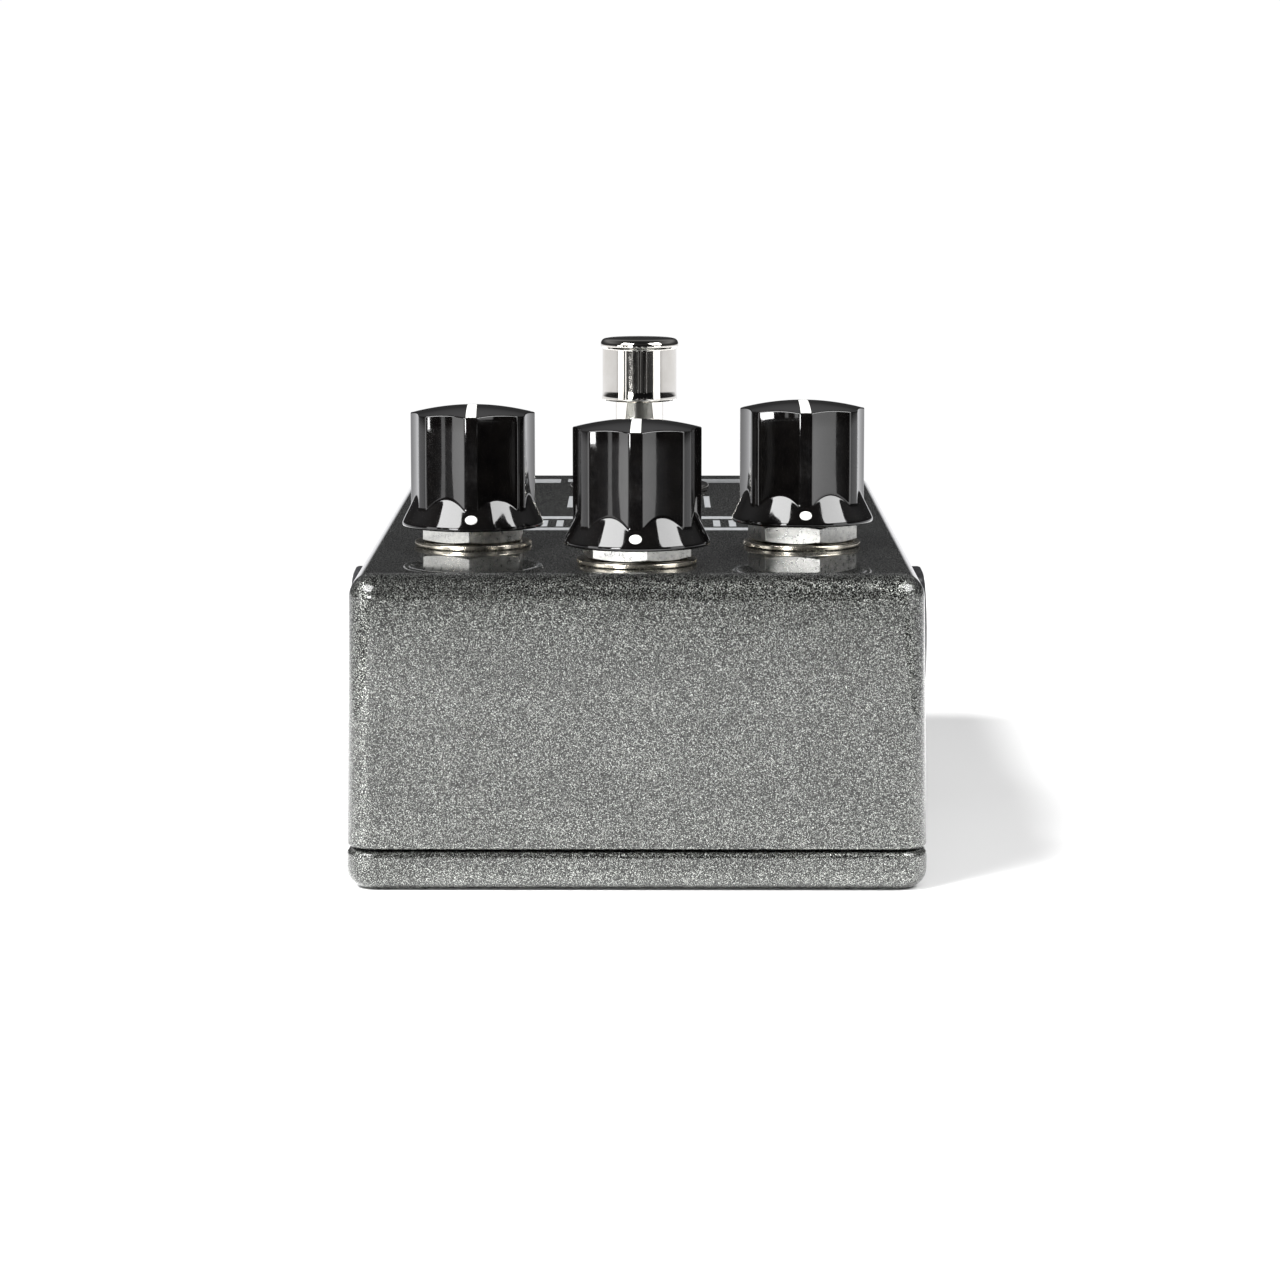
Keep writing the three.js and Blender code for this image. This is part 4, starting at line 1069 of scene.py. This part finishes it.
def soft_sun(name, toward, strength, spread):
    """A wide sun for the matt things and the floor's shadow; it shows in no gloss."""
    light = bpy.data.lights.new(name, "SUN")
    light.energy = strength
    light.angle = math.radians(spread)
    obj = link(bpy.data.objects.new(name, light))
    obj.visible_glossy = False
    obj.rotation_euler = Vector(toward).to_track_quat("Z", "Y").to_euler()


def build_studio():
    half, front, back = 0.17, -0.50, 0.22
    floor = make_mesh("floor", [(-half, front, 0), (half, front, 0), (half, back, 0),
                                (-half, back, 0)], [(0, 1, 2, 3)])
    s = Shader("pale_floor", Roughness=0.9, Specular_IOR_Level=0.1)
    depth = s.add("ShaderNodeSeparateXYZ", **{"0": s.coordinates}).outputs["Y"]
    near = s.add("ShaderNodeMapRange", {"interpolation_type": "SMOOTHSTEP"}, Value=depth,
                 **{"1": -0.48, "2": -0.23}).outputs[0]
    pale = s.ramp(s.noise(0.4, 2.0), (0.3, 0.80), (0.7, 0.82))
    s.set("Base Color", pale)
    s.set("Alpha", near)
    floor.data.materials.append(s.material)

    panel("left_low", -68, 0.30, 0.10, 0.005, 0.12, 2.5)
    panel("left_streak", -50, 0.30, 0.018, 0.005, 0.12, 1.6)
    panel("left_high", -46, 0.32, 0.24, 0.21, 0.42, 12.5, lean=30)
    panel("left_hot", -31, 0.34, 0.08, 0.045, 0.095, 28.0)
    panel("right_low", 63, 0.30, 0.13, 0.005, 0.12, 1.9)
    panel("right_high", 62, 0.32, 0.24, 0.21, 0.42, 9.5, lean=30)

    soft_sun("key", (-0.74, -0.45, 1.0), 5.2, 26)
    soft_sun("fill", (0.4, -0.5, 1.0), 1.1, 70)

    world = bpy.data.worlds.new("studio")
    bpy.context.scene.world = world
    world.use_nodes = True
    tree = world.node_tree
    tree.nodes.clear()

    def add(kind, settings=None, links=None, **values):
        node = tree.nodes.new(kind)
        for key, value in (settings or {}).items():
            setattr(node, key, value)
        for key, value in (links or {}).items():
            tree.links.new(value, node.inputs[key])
        for key, value in values.items():
            node.inputs[key].default_value = value
        return node

    def grey_ramp(factor, stops):
        node = add("ShaderNodeValToRGB", links={0: factor})
        elements = node.color_ramp.elements
        while len(elements) < len(stops):
            elements.new(0.5)
        for element, (position, grey) in zip(elements, stops):
            element.position = position
            element.color = (grey, grey, grey * 1.02, 1)
        return node.outputs[0]

    direction = add("ShaderNodeTexCoord").outputs["Generated"]
    axes = add("ShaderNodeSeparateXYZ", links={0: direction})
    sky = grey_ramp(axes.outputs["Z"], ((0.0, 0.028), (0.25, 0.05), (0.5, 0.22), (0.72, 0.14), (0.9, 0.05)))
    behind = add("ShaderNodeMapRange", links={0: axes.outputs["Y"]},
                 **{"From Min": -0.4, "From Max": 0.3, "To Min": 0.15})
    above = add("ShaderNodeMixRGB", {"blend_type": "MULTIPLY"}, {1: sky, 2: behind.outputs[0]},
                Fac=1.0).outputs[0]
    facing = add("ShaderNodeMapRange", links={0: axes.outputs["Y"]}, **{"From Min": -1.0})
    below = grey_ramp(facing.outputs[0], ((0.0, 0.03), (0.12, 0.05), (0.4, 0.85), (1.0, 1.0)))
    horizon = add("ShaderNodeMapRange", links={0: axes.outputs["Z"]},
                  **{"From Min": -0.03, "From Max": 0.02})
    room = add("ShaderNodeMixRGB", links={0: horizon.outputs[0], 1: below, 2: above})
    dim = add("ShaderNodeBackground", links={0: room.outputs[0]})
    white = add("ShaderNodeBackground", Color=(1.0, 1.0, 1.0, 1.0))
    white.inputs["Strength"].default_value = 1.02
    path = add("ShaderNodeLightPath")
    mix = add("ShaderNodeMixShader", links={0: path.outputs["Is Camera Ray"], 1: dim.outputs[0],
                                            2: white.outputs[0]})
    output = add("ShaderNodeOutputWorld")
    tree.links.new(mix.outputs[0], output.inputs[0])

    scene = bpy.context.scene
    scene.view_settings.view_transform = "Standard"
    scene.view_settings.look = "None"

    camera = bpy.data.cameras.new("camera")
    camera.lens = 115.61
    camera.sensor_width = 36.0
    camera.clip_start = 0.01
    obj = link(bpy.data.objects.new("camera", camera))
    obj.location = (1.743 * MM, -474.49 * MM, 83.35 * MM)
    obj.rotation_euler = (math.pi / 2 - 0.1352, 0, 0.0033)
    scene.camera = obj


build_studio()
build_enclosure()
build_base_plate()
build_base_screws()
build_knobs()
build_pot_hardware()
build_footswitch()
build_return_spring()
build_jacks()
build_power_socket()
build_status_light()
build_print()
